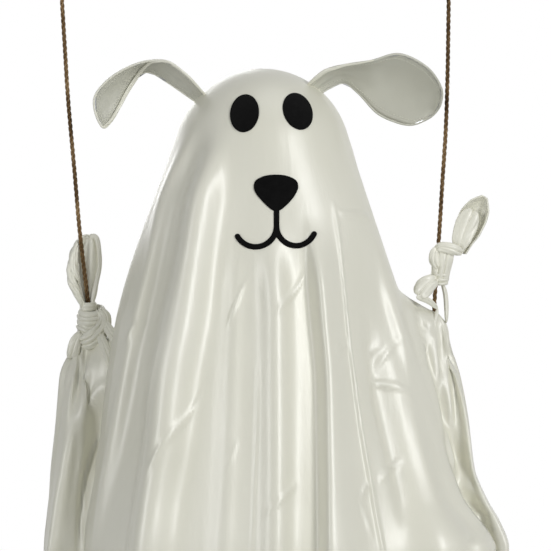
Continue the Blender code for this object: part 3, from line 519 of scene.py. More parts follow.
@dataclass(frozen=True)
class ClothRoll:
    """A gathered roll of cloth with sharp pleats that run along it.

    Each stop is (across, towards the back, drop, width, thickness).
    """

    stops: tuple[tuple[float, float, float, float, float], ...]
    pleats: int = 6
    depth: float = 0.16
    spiral: float = 0.0
    closed: bool = False
    cap: float = 0.22
    steps: int = 46
    sides: int = 64
    strips: int = 1

    def split(self) -> list["ClothRoll"]:
        """The narrow rolls side by side that a wide gathered roll is made of."""
        made, count = [], len(self.stops)
        middle = sum(s[0] for s in self.stops) / count, sum(s[1] for s in self.stops) / count
        for j in range(self.strips):
            off = (j + 0.5) / self.strips - 0.5
            stops = []
            for k, (across, back, drop, width, thickness) in enumerate(self.stops):
                bulge = thickness * 0.28 * (1 - (2 * off) ** 2)
                if self.closed:
                    out = Vector((across - middle[0], back - middle[1])).normalized() * bulge
                    side = Vector((0.0, 1.0))
                else:
                    near, far = self.stops[max(k - 1, 0)], self.stops[min(k + 1, count - 1)]
                    run = Vector((far[0] - near[0], far[2] - near[2])).normalized()
                    out, side = Vector((0.0, -bulge)), Vector((-run.y, run.x))
                stops.append((across + out.x + side.x * off * width, back + out.y,
                              drop + side.y * off * width, width / self.strips * 1.6,
                              thickness * 0.8))
            made.append(replace(self, stops=tuple(stops), strips=1, pleats=3, sides=32,
                                spiral=self.spiral + 2.1 * j))
        return made

    def build(self, name: str, material: bpy.types.Material) -> bpy.types.Object:
        """Makes the roll."""
        if self.strips > 1:
            return join(name, [roll.build(f"{name}_{j}", material) for j,
                               roll in enumerate(self.split())])
        stops = self.stops + (self.stops[:1] if self.closed else ())
        corners = [place(*s[:3]) for s in stops]
        reach = np.cumsum([0.0] + [(b - a).length for a, b in zip(corners, corners[1:])])
        shares = np.arange(self.steps) / (self.steps if self.closed else self.steps - 1)
        widths = np.interp(shares, reach / reach[-1], [s[3] for s in stops])
        depths = np.interp(shares, reach / reach[-1], [s[4] for s in stops])
        middle = smooth_route([place(*s[:3]) for s in self.stops], self.steps, self.closed)
        angles = 2 * np.pi * np.arange(self.sides) / self.sides
        rings = []
        for i, at in enumerate(middle):
            if self.closed:
                before, after = middle[i - 1], middle[(i + 1) % self.steps]
            else:
                before, after = middle[max(i - 1, 0)], middle[min(i + 1, self.steps - 1)]
            run = (after - before).normalized()
            view = self.centre_out(at) if self.closed else Vector((0.0, -1.0, 0.0))
            out = (view - run * view.dot(run)).normalized()
            across = run.cross(out)
            scale = 1.0
            if not self.closed:
                near = min(shares[i], 1 - shares[i]) / self.cap
                scale = math.sqrt(max(1 - (1 - min(near, 1.0)) ** 2, 0.02))
            wave = np.abs(np.sin(self.pleats * (angles + self.spiral * shares[i]) / 2))
            ripple = 1 - self.depth * (1 - wave)
            flat = np.outer(widths[i] / 2 * scale * ripple * np.cos(angles), across)
            rings.append(np.array(at) + flat
                         + np.outer(depths[i] / 2 * scale * ripple * np.sin(angles), out))
        grid = np.array(rings)
        faces = ring_faces(self.steps, self.sides, self.closed)
        return face_outwards(add_mesh(name, list(grid.reshape(-1, 3)), faces, material))

    def centre_out(self, at: Vector) -> Vector:
        """The level direction from the roll's middle to a point of a closed roll."""
        middle = place(sum(s[0] for s in self.stops) / len(self.stops),
                       sum(s[1] for s in self.stops) / len(self.stops), 0.0)
        return Vector((at.x - middle.x, at.y - middle.y, 0.0)).normalized()


def wrap_stops(centre: Triple, radii: Pair, width: float, thickness: float, sag: float = 0.0,
               tilt: float = 0.0,
               count: int = 12) -> tuple[tuple[float, float, float, float, float], ...]:
    """Stops of a wrap once round a rope.

    Args:
        centre: its middle as (across, towards the back, drop).
        radii: how far the wrap's middle lies from the rope, across and in depth.
        width: its height.
        thickness: its thickness.
        sag: how far it hangs lower at the front.
        tilt: how much lower its left side is than its right side.
        count: how many stops it has.

    Returns:
        The stops.
    """
    made = []
    for k in range(count):
        angle = 2 * math.pi * k / count
        x, y = math.cos(angle), math.sin(angle)
        made.append((centre[0] + radii[0] * x, centre[1] + radii[1] * y,
                     centre[2] - sag * y - tilt * x / 2, width, thickness))
    return tuple(made)


@dataclass(frozen=True)
class CuppedLeaf:
    """A tail of cloth that stands up from a knot: a cupped leaf with a thick soft rim."""

    spine: tuple[Triple, ...]
    halves: tuple[float, ...]
    cup: float = 0.5
    turn: float = 0.0
    pleats: float = 3.0
    pleat_rise: float = 0.001
    rim: float = 0.0014
    wall: float = 0.001
    steps: int = 56
    columns: int = 40

    def grid(self) -> tuple[np.ndarray, np.ndarray]:
        """The leaf's middle face and its normals."""
        middle = smooth_route([place(*p) for p in self.spine], self.steps)
        reach = np.linspace(0, 1, len(self.halves))
        shares = np.linspace(0, 1, self.steps)
        levels, values = list(reach), list(self.halves)
        halves = curve_values(levels, values, slopes_through(levels, values), shares)
        across = np.linspace(-1, 1, self.columns)
        rows = []
        for i, at in enumerate(middle):
            run = (middle[min(i + 1, self.steps - 1)] - middle[max(i - 1, 0)]).normalized()
            lean = math.radians(self.turn)
            view = Vector((math.sin(lean), -math.cos(lean), 0.0))
            out = (view - run * view.dot(run)).normalized()
            side = out.cross(run)
            bow = self.cup * halves[i] * (1 - across ** 2)
            ripple = self.pleat_rise * np.cos(math.pi * self.pleats * across + 2.2 * shares[i])
            ripple = ripple * np.minimum(1.0, halves[i] / 0.008)
            rows.append(np.array(at) + np.outer(across * halves[i], side)
                        + np.outer(ripple - bow, out))
        grid = np.array(rows).transpose(1, 0, 2)
        return grid, grid_normals(grid)

    def build(self, name: str, outer: bpy.types.Material,
              inner: bpy.types.Material) -> bpy.types.Object:
        """Makes the leaf with its rim."""
        grid, normals = self.grid()
        half = normals * self.wall / 2
        blade = shell_between(f"{name}_blade", grid + half, grid - half, inner, outer)
        edge = [Vector(p) for p in grid[0]] + [Vector(p) for p in grid[1:, -1]]
        edge += [Vector(p) for p in grid[-1][::-1][1:]]
        rim = tube(f"{name}_rim", smooth_route(edge[::3], 150), self.rim, outer, 10)
        return join(name, [blade, rim])


# Repeated detail, laid by node groups


class LayoutNodes:
    """A geometry node group with named inputs, run once on a carrier object."""

    def __init__(self, name: str) -> None:
        self.group = bpy.data.node_groups.new(name, "GeometryNodeTree")
        for way in ("OUTPUT", "INPUT"):
            self.group.interface.new_socket("Geometry", in_out=way,
                                            socket_type="NodeSocketGeometry")
        self.source = self.group.nodes.new("NodeGroupInput")
        self.values: dict[str, object] = {}

    def number(self, name: str, value: float, kind: str = "Float") -> bpy.types.NodeSocket:
        """Adds a named input with its value and gives its socket inside the group."""
        made = self.group.interface.new_socket(name, in_out="INPUT",
                                               socket_type=f"NodeSocket{kind}")
        made.default_value = value
        self.values[made.identifier] = value
        return self.source.outputs[name]

    def add(self, kind: str, inputs: dict | None = None, **settings: object) -> bpy.types.Node:
        """Adds a node whose inputs are values or sockets, by name or place."""
        return add_node(self.group, kind, inputs, settings)

    def math(self, operation: str, a: object, b: object = 0.0) -> bpy.types.NodeSocket:
        """A sum on two values."""
        return self.add("ShaderNodeMath", {0: a, 1: b}, operation=operation).outputs[0]

    def run(self, name: str, carrier: bpy.types.Object, result: bpy.types.NodeSocket,
            material: bpy.types.Material) -> bpy.types.Object:
        """Ends the group, runs it on the carrier and gives the result as a plain mesh.

        Args:
            name: the new piece's name.
            carrier: the object that the group works on, which goes afterwards.
            result: the geometry to give out.
            material: the finish of all of it.

        Returns:
            The new object.
        """
        real = self.add("GeometryNodeRealizeInstances", {0: result})
        painted = self.add("GeometryNodeSetMaterial",
                           {"Geometry": real.outputs[0], "Material": material})
        shaded = self.add("GeometryNodeSetShadeSmooth", {0: painted.outputs[0]})
        end = self.group.nodes.new("NodeGroupOutput")
        self.group.links.new(shaded.outputs[0], end.inputs[0])
        step = carrier.modifiers.new("Layout", "NODES")
        step.node_group = self.group
        for identifier, value in self.values.items():
            step[identifier] = value
        view = bpy.context.evaluated_depsgraph_get()
        view.update()
        mesh = bpy.data.meshes.new_from_object(carrier.evaluated_get(view))
        mesh.name = name
        carrier.modifiers.remove(step)
        bpy.data.objects.remove(carrier)
        made = bpy.data.objects.new(name, mesh)
        bpy.context.scene.collection.objects.link(made)
        log.info("%s: %d faces from nodes", name, len(mesh.polygons))
        return made


def curve_object(name: str, points: list[Vector]) -> bpy.types.Object:
    """A bare curve through points."""
    curve = bpy.data.curves.new(name, "CURVE")
    curve.dimensions = "3D"
    spline = curve.splines.new("POLY")
    spline.points.add(len(points) - 1)
    for point, at in zip(spline.points, points):
        point.co = (*at, 1.0)
    made = bpy.data.objects.new(name, curve)
    bpy.context.scene.collection.objects.link(made)
    return made


@dataclass(frozen=True)
class RopeLay:
    """How a rope is laid from its strands."""

    diameter: float = 0.006
    strands: int = 3
    pitch: float = 0.024
    step: float = 0.0016
    fibres: int = 260
    seed: int = 7

    def build(self, name: str, points: list[Vector],
              material: bpy.types.Material) -> bpy.types.Object:
        """Lays the rope's strands and loose fibres along points.

        Args:
            name: the piece's name.
            points: the rope's middle line.
            material: its finish.

        Returns:
            The new object.
        """
        nodes = LayoutNodes(f"{name}_lay")
        step = nodes.number("Step", self.step)
        pitch = nodes.number("Pitch", self.pitch)
        lay = nodes.number("Lay radius", self.diameter * 0.285)
        strand = nodes.number("Strand radius", self.diameter * 0.215)
        count = nodes.number("Strands", self.strands, "Int")
        even = nodes.add("GeometryNodeResampleCurve", {"Curve": nodes.source.outputs["Geometry"],
                                                       "Length": step}, mode="LENGTH")
        copies = nodes.add("GeometryNodeDuplicateElements",
                           {"Geometry": even.outputs[0], "Amount": count},
                           domain="SPLINE")
        along = nodes.add("GeometryNodeSplineParameter").outputs["Length"]
        turn = nodes.math("MULTIPLY", nodes.math("DIVIDE", along, pitch), 2 * math.pi)
        phase = nodes.math("MULTIPLY",
                           nodes.math("DIVIDE", copies.outputs["Duplicate Index"], count),
                           2 * math.pi)
        angle = nodes.math("ADD", turn, phase)
        normal = nodes.add("GeometryNodeInputNormal").outputs[0]
        tangent = nodes.add("GeometryNodeInputTangent").outputs[0]
        side = nodes.add("ShaderNodeVectorMath", {0: tangent, 1: normal}, operation="CROSS_PRODUCT")
        parts = []
        for direction, wave in ((normal, "COSINE"), (side.outputs[0], "SINE")):
            scale = nodes.math("MULTIPLY", nodes.math(wave, angle), lay)
            parts.append(nodes.add("ShaderNodeVectorMath", {0: direction, "Scale": scale},
                                   operation="SCALE").outputs[0])
        off = nodes.add("ShaderNodeVectorMath", {0: parts[0], 1: parts[1]},
                        operation="ADD").outputs[0]
        laid = nodes.add("GeometryNodeSetPosition",
                         {"Geometry": copies.outputs["Geometry"], "Offset": off})
        ring = nodes.add("GeometryNodeCurvePrimitiveCircle", {"Resolution": 9, "Radius": strand},
                         mode="RADIUS")
        body = nodes.add("GeometryNodeCurveToMesh", {"Curve": laid.outputs[0],
                                                     "Profile Curve": ring.outputs[0],
                                                     "Fill Caps": True})
        core_radius = nodes.number("Core radius", self.diameter * 0.16)
        thin = nodes.add("GeometryNodeCurvePrimitiveCircle",
                         {"Resolution": 6, "Radius": core_radius},
                         mode="RADIUS")
        core = nodes.add("GeometryNodeCurveToMesh", {"Curve": even.outputs[0], "Fill Caps": True,
                                                     "Profile Curve": thin.outputs[0]})
        spots = nodes.add("GeometryNodeDistributePointsOnFaces",
                          {"Mesh": body.outputs[0],
                           "Density": nodes.number("Fibres per area", self.fibres * 100.0),
                           "Seed": self.seed}, distribute_method="RANDOM")
        tilt = nodes.add("FunctionNodeRandomValue",
                         {"Min": (-0.9, -0.9, -3.1), "Max": (0.9, 0.9, 3.1),
                                                     "Seed": self.seed}, data_type="FLOAT_VECTOR")
        fibre = nodes.add("GeometryNodeMeshCone", {"Vertices": 3, "Radius Top": 0.00002,
                                                   "Radius Bottom": 0.00006, "Depth": 0.0024})
        turned = nodes.add("FunctionNodeEulerToRotation", {0: tilt.outputs[0]})
        mixed = nodes.add("FunctionNodeRotateRotation", {0: spots.outputs["Rotation"],
                                                         1: turned.outputs[0]},
                          rotation_space="LOCAL")
        hair = nodes.add("GeometryNodeInstanceOnPoints", {"Points": spots.outputs["Points"],
                                                          "Instance": fibre.outputs["Mesh"],
                                                          "Rotation": mixed.outputs[0]})
        both = nodes.add("GeometryNodeJoinGeometry")
        for part in (hair.outputs[0], core.outputs[0], body.outputs[0]):
            nodes.group.links.new(part, both.inputs[0])
        return nodes.run(name, curve_object(f"{name}_line", points), both.outputs[0], material)


@dataclass(frozen=True)
class StitchLine:
    """Running stitches along a path."""

    length: float = 0.0026
    gap: float = 0.0014
    radius: float = 0.00032

    def build(self, name: str, points: list[Vector],
              material: bpy.types.Material) -> bpy.types.Object:
        """Lays the stitches.

        Args:
            name: the piece's name.
            points: the path that they follow.
            material: the thread's finish.

        Returns:
            The new object.
        """
        nodes = LayoutNodes(f"{name}_stitches")
        pitch = nodes.number("Pitch", self.length + self.gap)
        length = nodes.number("Stitch length", self.length)
        radius = nodes.number("Thread radius", self.radius)
        spots = nodes.add("GeometryNodeCurveToPoints", {"Curve": nodes.source.outputs["Geometry"],
                                                        "Length": pitch}, mode="LENGTH")
        stitch = nodes.add("GeometryNodeMeshCylinder", {"Vertices": 6, "Radius": radius,
                                                        "Depth": length})
        laid = nodes.add("GeometryNodeInstanceOnPoints", {"Points": spots.outputs["Points"],
                                                          "Instance": stitch.outputs["Mesh"],
                                                          "Rotation": spots.outputs["Rotation"]})
        return nodes.run(name, curve_object(f"{name}_path", points), laid.outputs[0], material)


# The sheet


def slopes_through(levels: list[float], values: list[float],
                   first: float | None = None) -> list[float]:
    """Slopes at each level of a smooth curve that never overshoots its values."""
    rises = [(b - a) / (d - c) for a, b, c, d in zip(values, values[1:], levels, levels[1:])]
    slopes = [rises[0] if first is None else first]
    for before, after in zip(rises, rises[1:]):
        slopes.append(2 * before * after / (before + after) if before * after > 0 else 0.0)
    return slopes + [rises[-1]]


def curve_values(levels: list[float], values: list[float], slopes: list[float],
                 at: np.ndarray) -> np.ndarray:
    """The smooth curve's values at the levels asked for."""
    lv, vl, sl = (np.array(x) for x in (levels, values, slopes))
    i = np.clip(np.searchsorted(lv, at, side="right") - 1, 0, len(lv) - 2)
    step = lv[i + 1] - lv[i]
    t = (at - lv[i]) / step
    return ((1 + 2 * t) * (1 - t) ** 2 * vl[i] + t * (1 - t) ** 2 * step * sl[i]
            + t * t * (3 - 2 * t) * vl[i + 1] - t * t * (1 - t) * step * sl[i + 1])


class SheetLine:
    """One line of the sheet from the crown over the head and down to the hem."""

    def __init__(self, azimuth: float, stations: list[Triple]) -> None:
        """Sets the line's curves.

        Args:
            azimuth: its direction on the head, from the front.
            stations: its (drop, across, towards the back) below the head.
        """
        self.azimuth = azimuth
        side = math.sin(azimuth) ** 2
        self.polar = math.pi / 2 - TAKEOFF_FRONT - (TAKEOFF_SIDE - TAKEOFF_FRONT) * side
        start = self.dome(np.array([1.0]))[0]
        lean = math.tan(math.pi / 2 - self.polar)
        self.start = float(start[2])
        self.levels = [self.start] + [s[0] for s in stations]
        across = [float(start[0])] + [s[1] for s in stations]
        back = [float(start[1])] + [s[2] for s in stations]
        self.across = (across, slopes_through(self.levels, across, lean * math.sin(azimuth)))
        self.back = (back, slopes_through(self.levels, back, -lean * math.cos(azimuth)))

    def dome(self, shares: np.ndarray) -> np.ndarray:
        """Points on the head at shares of the way from the crown to the take-off."""
        polar = self.polar * shares
        out = CROWN_RADIUS * np.sin(polar)
        return np.stack([out * math.sin(self.azimuth), -out * math.cos(self.azimuth),
                         CROWN_RADIUS * (1 - np.cos(polar))], axis=1)

    def points(self, dome_rows: int, shoulder_rows: int, drops: np.ndarray) -> np.ndarray:
        """All of the line's points as (across, towards the back, drop)."""
        dome = self.dome(np.arange(1, dome_rows + 1) / dome_rows)
        ramp = self.start + (drops[0] - self.start) * np.arange(1, shoulder_rows) / shoulder_rows
        levels = np.concatenate([ramp, drops])
        body = np.stack([curve_values(self.levels, *self.across, levels),
                         curve_values(self.levels, *self.back, levels), levels], axis=1)
        return np.concatenate([dome, body])


@dataclass(frozen=True)
class Band:
    """A long flank of a fold, where the sheet falls back or comes forward from left to right.

    The route is (drop, across), rise is how far the sheet comes forward over the flank, and half
    is half of the flank's width.
    """

    route: tuple[Pair, ...]
    half: float
    rise: float
    fade: Pair = (0.05, 0.05)

    def relief(self, across: np.ndarray, drop: np.ndarray) -> np.ndarray:
        """How far the flank moves the sheet outwards at each place."""
        levels = [p[0] for p in self.route]
        values = [p[1] for p in self.route]
        middle = curve_values(levels, values, slopes_through(levels, values),
                              np.clip(drop, levels[0] - 0.05, levels[-1] + 0.03))
        strength = smoothstep(levels[0] - self.fade[0], levels[0] + self.fade[0], drop)
        if levels[-1] < HEM_DROP - 0.2:
            low, high = levels[-1] - self.fade[1], levels[-1] + self.fade[1]
            strength = strength * (1 - smoothstep(low, high, drop))
        return self.rise * 0.5 * np.tanh((across - middle) / self.half) * strength


@dataclass(frozen=True)
class Crease:
    """A thin wrinkle along a route of (drop, across) points."""

    route: tuple[Pair, ...]
    half: float = 0.0022
    rise: float = 0.0016

    def relief(self, across: np.ndarray, drop: np.ndarray) -> np.ndarray:
        """How far the wrinkle moves the sheet outwards at each place."""
        route = smooth_route([(a, d, 0.0) for d, a in self.route], 14)
        best = np.full(across.shape, 1e9)
        share = np.zeros(across.shape)
        for k, (p, q) in enumerate(zip(route, route[1:])):
            run = np.array([q.x - p.x, q.y - p.y])
            t = np.clip(((across - p.x) * run[0] + (drop - p.y) * run[1]) / (run @ run), 0, 1)
            gap = np.hypot(across - p.x - t * run[0], drop - p.y - t * run[1])
            nearer = gap < best
            best = np.where(nearer, gap, best)
            share = np.where(nearer, (k + t) / (len(route) - 1), share)
        ends = np.sin(math.pi * np.clip(share, 0, 1)) ** 0.6
        return self.rise * np.exp(-(best / self.half) ** 2) * ends


FRONT_PLACES: tuple[Pair, ...] = (
    (-0.182, -0.222), (-0.163, -0.207), (-0.144, -0.19), (-0.125, -0.166), (-0.104, -0.142),
    (-0.084, -0.117), (-0.068, -0.096), (-0.055, -0.078), (-0.037, -0.049), (-0.018, -0.025),
    (0.001, -0.004), (0.018, 0.017), (0.036, 0.035), (0.057, 0.06), (0.07, 0.074), (0.081, 0.088),
    (0.099, 0.112), (0.117, 0.147), (0.136, 0.167), (0.15, 0.19), (0.162, 0.214), (0.173, 0.24),
    (0.184, 0.266))

FRONT_BANDS: tuple[Band, ...] = (
    Band(((0.11, -0.107), (0.1791, -0.1312), (0.2553, -0.1465), (0.3315, -0.163), (0.4077, -0.177),
        (0.4839, -0.1922), (0.5601, -0.2075), (0.6173, -0.2151)), 0.007, 0.006),
    Band(((0.11, -0.096), (0.1791, -0.1185), (0.2553, -0.1376), (0.3315, -0.1528),
        (0.4077, -0.1668), (0.4839, -0.182), (0.5601, -0.1998), (0.611, -0.2113)), 0.008, -0.011),
    Band(((0.12, -0.076), (0.1791, -0.0906), (0.2553, -0.1058), (0.3315, -0.1224),
        (0.4077, -0.1351), (0.4839, -0.1414), (0.5601, -0.1516), (0.6249, -0.1605)), 0.013, 0.016),
    Band(((0.135, -0.051), (0.1791, -0.0588), (0.2553, -0.0703), (0.3315, -0.0792),
        (0.4077, -0.0919), (0.4839, -0.1008), (0.5601, -0.1135), (0.6249, -0.1211)), 0.012, -0.022),
    Band(((0.2553, -0.042), (0.3442, -0.046), (0.4839, -0.052), (0.6249, -0.06)), 0.012, 0.004),
    Band(((0.2553, -0.0271), (0.3442, -0.0296), (0.4839, -0.0334), (0.6249, -0.0398)),
        0.009, -0.004),
    Band(((0.2553, 0.0021), (0.3442, 0.0047), (0.4839, 0.0047), (0.6249, 0.0034)), 0.012, 0.009),
    Band(((0.2426, 0.0263), (0.3315, 0.0313), (0.4839, 0.0326), (0.6249, 0.0313)), 0.013, -0.011),
    Band(((0.2426, 0.062), (0.3315, 0.07), (0.4077, 0.076), (0.4839, 0.077), (0.6249, 0.0785)),
        0.0042, 0.017),
    Band(((0.2426, 0.0872), (0.3315, 0.0974), (0.4077, 0.1037), (0.4839, 0.1075), (0.5601, 0.1126),
        (0.6249, 0.1177)), 0.024, -0.019),
    Band(((0.3442, 0.1406), (0.423, 0.1507), (0.4839, 0.1634), (0.5195, 0.1723), (0.5601, 0.1799)),
        0.007, -0.008),
    Band(((0.3442, 0.1571), (0.4331, 0.1812), (0.4839, 0.1939), (0.5601, 0.2079),
        (0.6249, 0.2142)), 0.02, 0.016),
    Band(((0.268, 0.1571), (0.3315, 0.1761), (0.4077, 0.2041), (0.4839, 0.2269), (0.5601, 0.25),
        (0.5894, 0.2741)), 0.006, 0.008),
)

FRONT_CREASES: tuple[Crease, ...] = (
    Crease(((0.1791, 0.0936), (0.268, 0.105), (0.3582, 0.1152), (0.47, 0.1304), (0.5589, 0.1469),
        (0.65, 0.164)), 0.0024, 0.003),
    Crease(((0.3442, -0.116), (0.4077, -0.1287), (0.4839, -0.1414), (0.5601, -0.1516),
        (0.7, -0.168)), 0.0022, 0.0022),
    Crease(((0.3811, -0.0042), (0.4839, -0.0068), (0.68, -0.015)), 0.0018, 0.001),
    Crease(((0.4141, -0.0715), (0.4484, -0.0881), (0.4966, -0.116), (0.5411, -0.1389))),
    Crease(((0.5347, 0.0466), (0.5538, 0.0301), (0.5792, 0.0047)), 0.002, 0.0012),
    Crease(((0.5055, 0.1939), (0.5195, 0.1736), (0.5347, 0.1545)), 0.0026, 0.0018),
    Crease(((0.3353, -0.1478), (0.3442, -0.1592), (0.3671, -0.1706))),
    Crease(((0.1893, 0.0974), (0.1956, 0.1063), (0.1956, 0.1253), (0.2032, 0.1482)), 0.0026, 0.002),
    Crease(((0.268, 0.0593), (0.2871, 0.0491), (0.3087, 0.0301), (0.3252, 0.0174))),
    Crease(((0.2744, -0.0144), (0.2934, -0.0271), (0.3379, -0.0436))),
    Crease(((0.4154, 0.1444), (0.409, 0.1584), (0.4141, 0.1812), (0.4242, 0.2028)), 0.0034, 0.0022),
    Crease(((0.3582, 0.1152), (0.362, 0.0999), (0.3747, 0.0923)), 0.0024, 0.0018),
    Crease(((0.3633, 0.1152), (0.3696, 0.1063), (0.3823, 0.0961)), 0.0024, 0.0016),
    Crease(((0.3582, 0.1672), (0.3684, 0.1533), (0.3823, 0.1457)), 0.0026, 0.0012),
    Crease(((0.4839, -0.0296), (0.5157, -0.0423)), 0.002, 0.001),
    Crease(((0.5347, 0.1406), (0.5474, 0.1329), (0.5589, 0.1279)), 0.0024, 0.0018),
    Crease(((0.5563, 0.1253), (0.5856, 0.138), (0.6046, 0.1444)), 0.0024, 0.0014),
    Crease(((0.3506, 0.1888), (0.3696, 0.1736), (0.395, 0.1571)), 0.0028, 0.0013),
)

BACK_BANDS: tuple[Band, ...] = tuple(
    Band(((0.22, 0.62 * foot), (0.42, 0.85 * foot), (0.7, foot)), 0.01, rise)
    for foot, rise in ((-0.19, 0.009), (-0.15, -0.012), (-0.1, 0.01), (-0.04, -0.008),
                       (0.045, 0.01), (0.085, -0.012), (0.14, 0.01), (0.18, -0.009)))

ARM_BANDS: dict[Side, tuple[Band | Crease, ...]] = {
    Side.LEFT: (
        Crease(((0.33, -0.199), (0.38, -0.204), (0.426, -0.209), (0.4938, -0.222), (0.5443, -0.23),
            (0.6095, -0.235), (0.78, -0.237)), 0.005, -0.011),
        Band(((0.414, -0.236), (0.4938, -0.256), (0.5736, -0.272), (0.6334, -0.28)), 0.0045, 0.014),
        Band(((0.39, -0.214), (0.414, -0.2194), (0.4938, -0.242), (0.5736, -0.2606),
            (0.6334, -0.2686)), 0.008, -0.013, (0.02, 0.05)),
        Band(((0.414, -0.21), (0.4539, -0.2207), (0.4938, -0.2287), (0.56, -0.24)), 0.003, -0.01),
        Band(((0.4406, -0.2101), (0.4938, -0.2207), (0.547, -0.2287), (0.6002, -0.234)),
            0.003, 0.009),
        Crease(((0.3674, -0.2367), (0.414, -0.2473), (0.4672, -0.2553), (0.5337, -0.2633)),
            0.003, 0.0055),
        Crease(((0.3741, -0.2221), (0.414, -0.2261), (0.4672, -0.2341)), 0.0028, 0.005),
        Crease(((0.394, -0.1941), (0.414, -0.2074), (0.4406, -0.2194), (0.4738, -0.2314)),
            0.004, 0.0075),
    ),
    Side.RIGHT: (
        Crease(((0.29, 0.201), (0.32, 0.206), (0.3608, 0.216), (0.4406, 0.241), (0.5071, 0.261),
            (0.5603, 0.268), (0.6042, 0.296), (0.78, 0.312)), 0.0045, -0.012),
        Band(((0.37, 0.233), (0.414, 0.2368), (0.4938, 0.2434), (0.547, 0.2581), (0.5869, 0.2767)),
            0.0032, -0.009, (0.02, 0.05)),
        Band(((0.37, 0.24), (0.414, 0.2448), (0.4938, 0.2501), (0.547, 0.266), (0.5869, 0.2873)),
            0.0028, 0.009, (0.02, 0.05)),
        Band(((0.37, 0.244), (0.414, 0.2501), (0.4938, 0.2567), (0.5603, 0.274)), 0.003, -0.01,
            (0.02, 0.05)),
        Band(((0.37, 0.251), (0.414, 0.2581), (0.4938, 0.2674), (0.5603, 0.282)), 0.003, 0.01,
            (0.02, 0.05)),
        Crease(((0.3209, 0.2288), (0.3408, 0.2209), (0.3634, 0.2155), (0.3974, 0.211)),
            0.0028, 0.006),
        Crease(((0.3209, 0.2315), (0.3408, 0.2368), (0.3608, 0.2421), (0.394, 0.2501)),
            0.0028, 0.005),
        Crease(((0.33, 0.227), (0.36, 0.228), (0.39, 0.232), (0.44, 0.24)), 0.0026, 0.005),
    ),
}


@dataclass(frozen=True)
class TiedSide:
    """The sheet's lines at one tied side: they run in to the knot's neck and fan out below it."""

    neck: Triple
    radii: Pair
    outline: tuple[Pair, ...]
    lines: tuple[tuple[float, Pair], ...]
    above: float = 0.034
    tuck: float = 0.004

    def cone(self, azimuth: float, drop: float) -> Pair:
        """A point on the smooth cone that the sheet forms above the knots."""
        polar = math.pi / 2 - TAKEOFF_SIDE
        below = drop - CROWN_RADIUS * (1 - math.cos(polar))
        across = CROWN_RADIUS * math.sin(polar) + below * math.tan(TAKEOFF_SIDE) - self.tuck
        depth = CROWN_RADIUS * math.sin(polar) + below * math.tan(TAKEOFF_FRONT) - self.tuck
        return across * math.sin(azimuth), -depth * math.cos(azimuth)

    def build(self) -> list[SheetLine]:
        """Makes the lines from front to back."""
        made = []
        sign = math.copysign(1, self.neck[0])
        foot_reach = dict(self.outline)[FOOT_DROP] - self.outline[0][1]
        for k, (degrees, foot) in enumerate(self.lines):
            azimuth = math.radians(degrees)
            turn = math.radians(-80 + 160 * k / (len(self.lines) - 1))
            neck_x = self.neck[0] + sign * self.radii[0] * math.cos(turn)
            neck_y = self.neck[1] + self.radii[1] * math.sin(turn)
            above = self.neck[2] - self.above
            stations = [(above, *self.cone(azimuth, above)), (self.neck[2], neck_x, neck_y)]
            for drop, across in self.outline[1:]:
                reach = (across - self.outline[0][1]) / foot_reach
                fall = min((drop - self.neck[2]) / (FOOT_DROP - self.neck[2]), 1.05) ** 0.8
                stations.append((drop, neck_x + (foot[0] - neck_x) * reach,
                                 neck_y + (foot[1] - neck_y) * fall))
            made.append(SheetLine(azimuth, stations))
        return made


class Zone(IntEnum):
    """The parts of the sheet that its columns belong to."""

    JOINED = -1
    FRONT = 0
    LEFT = 1
    RIGHT = 2
    BACK = 3


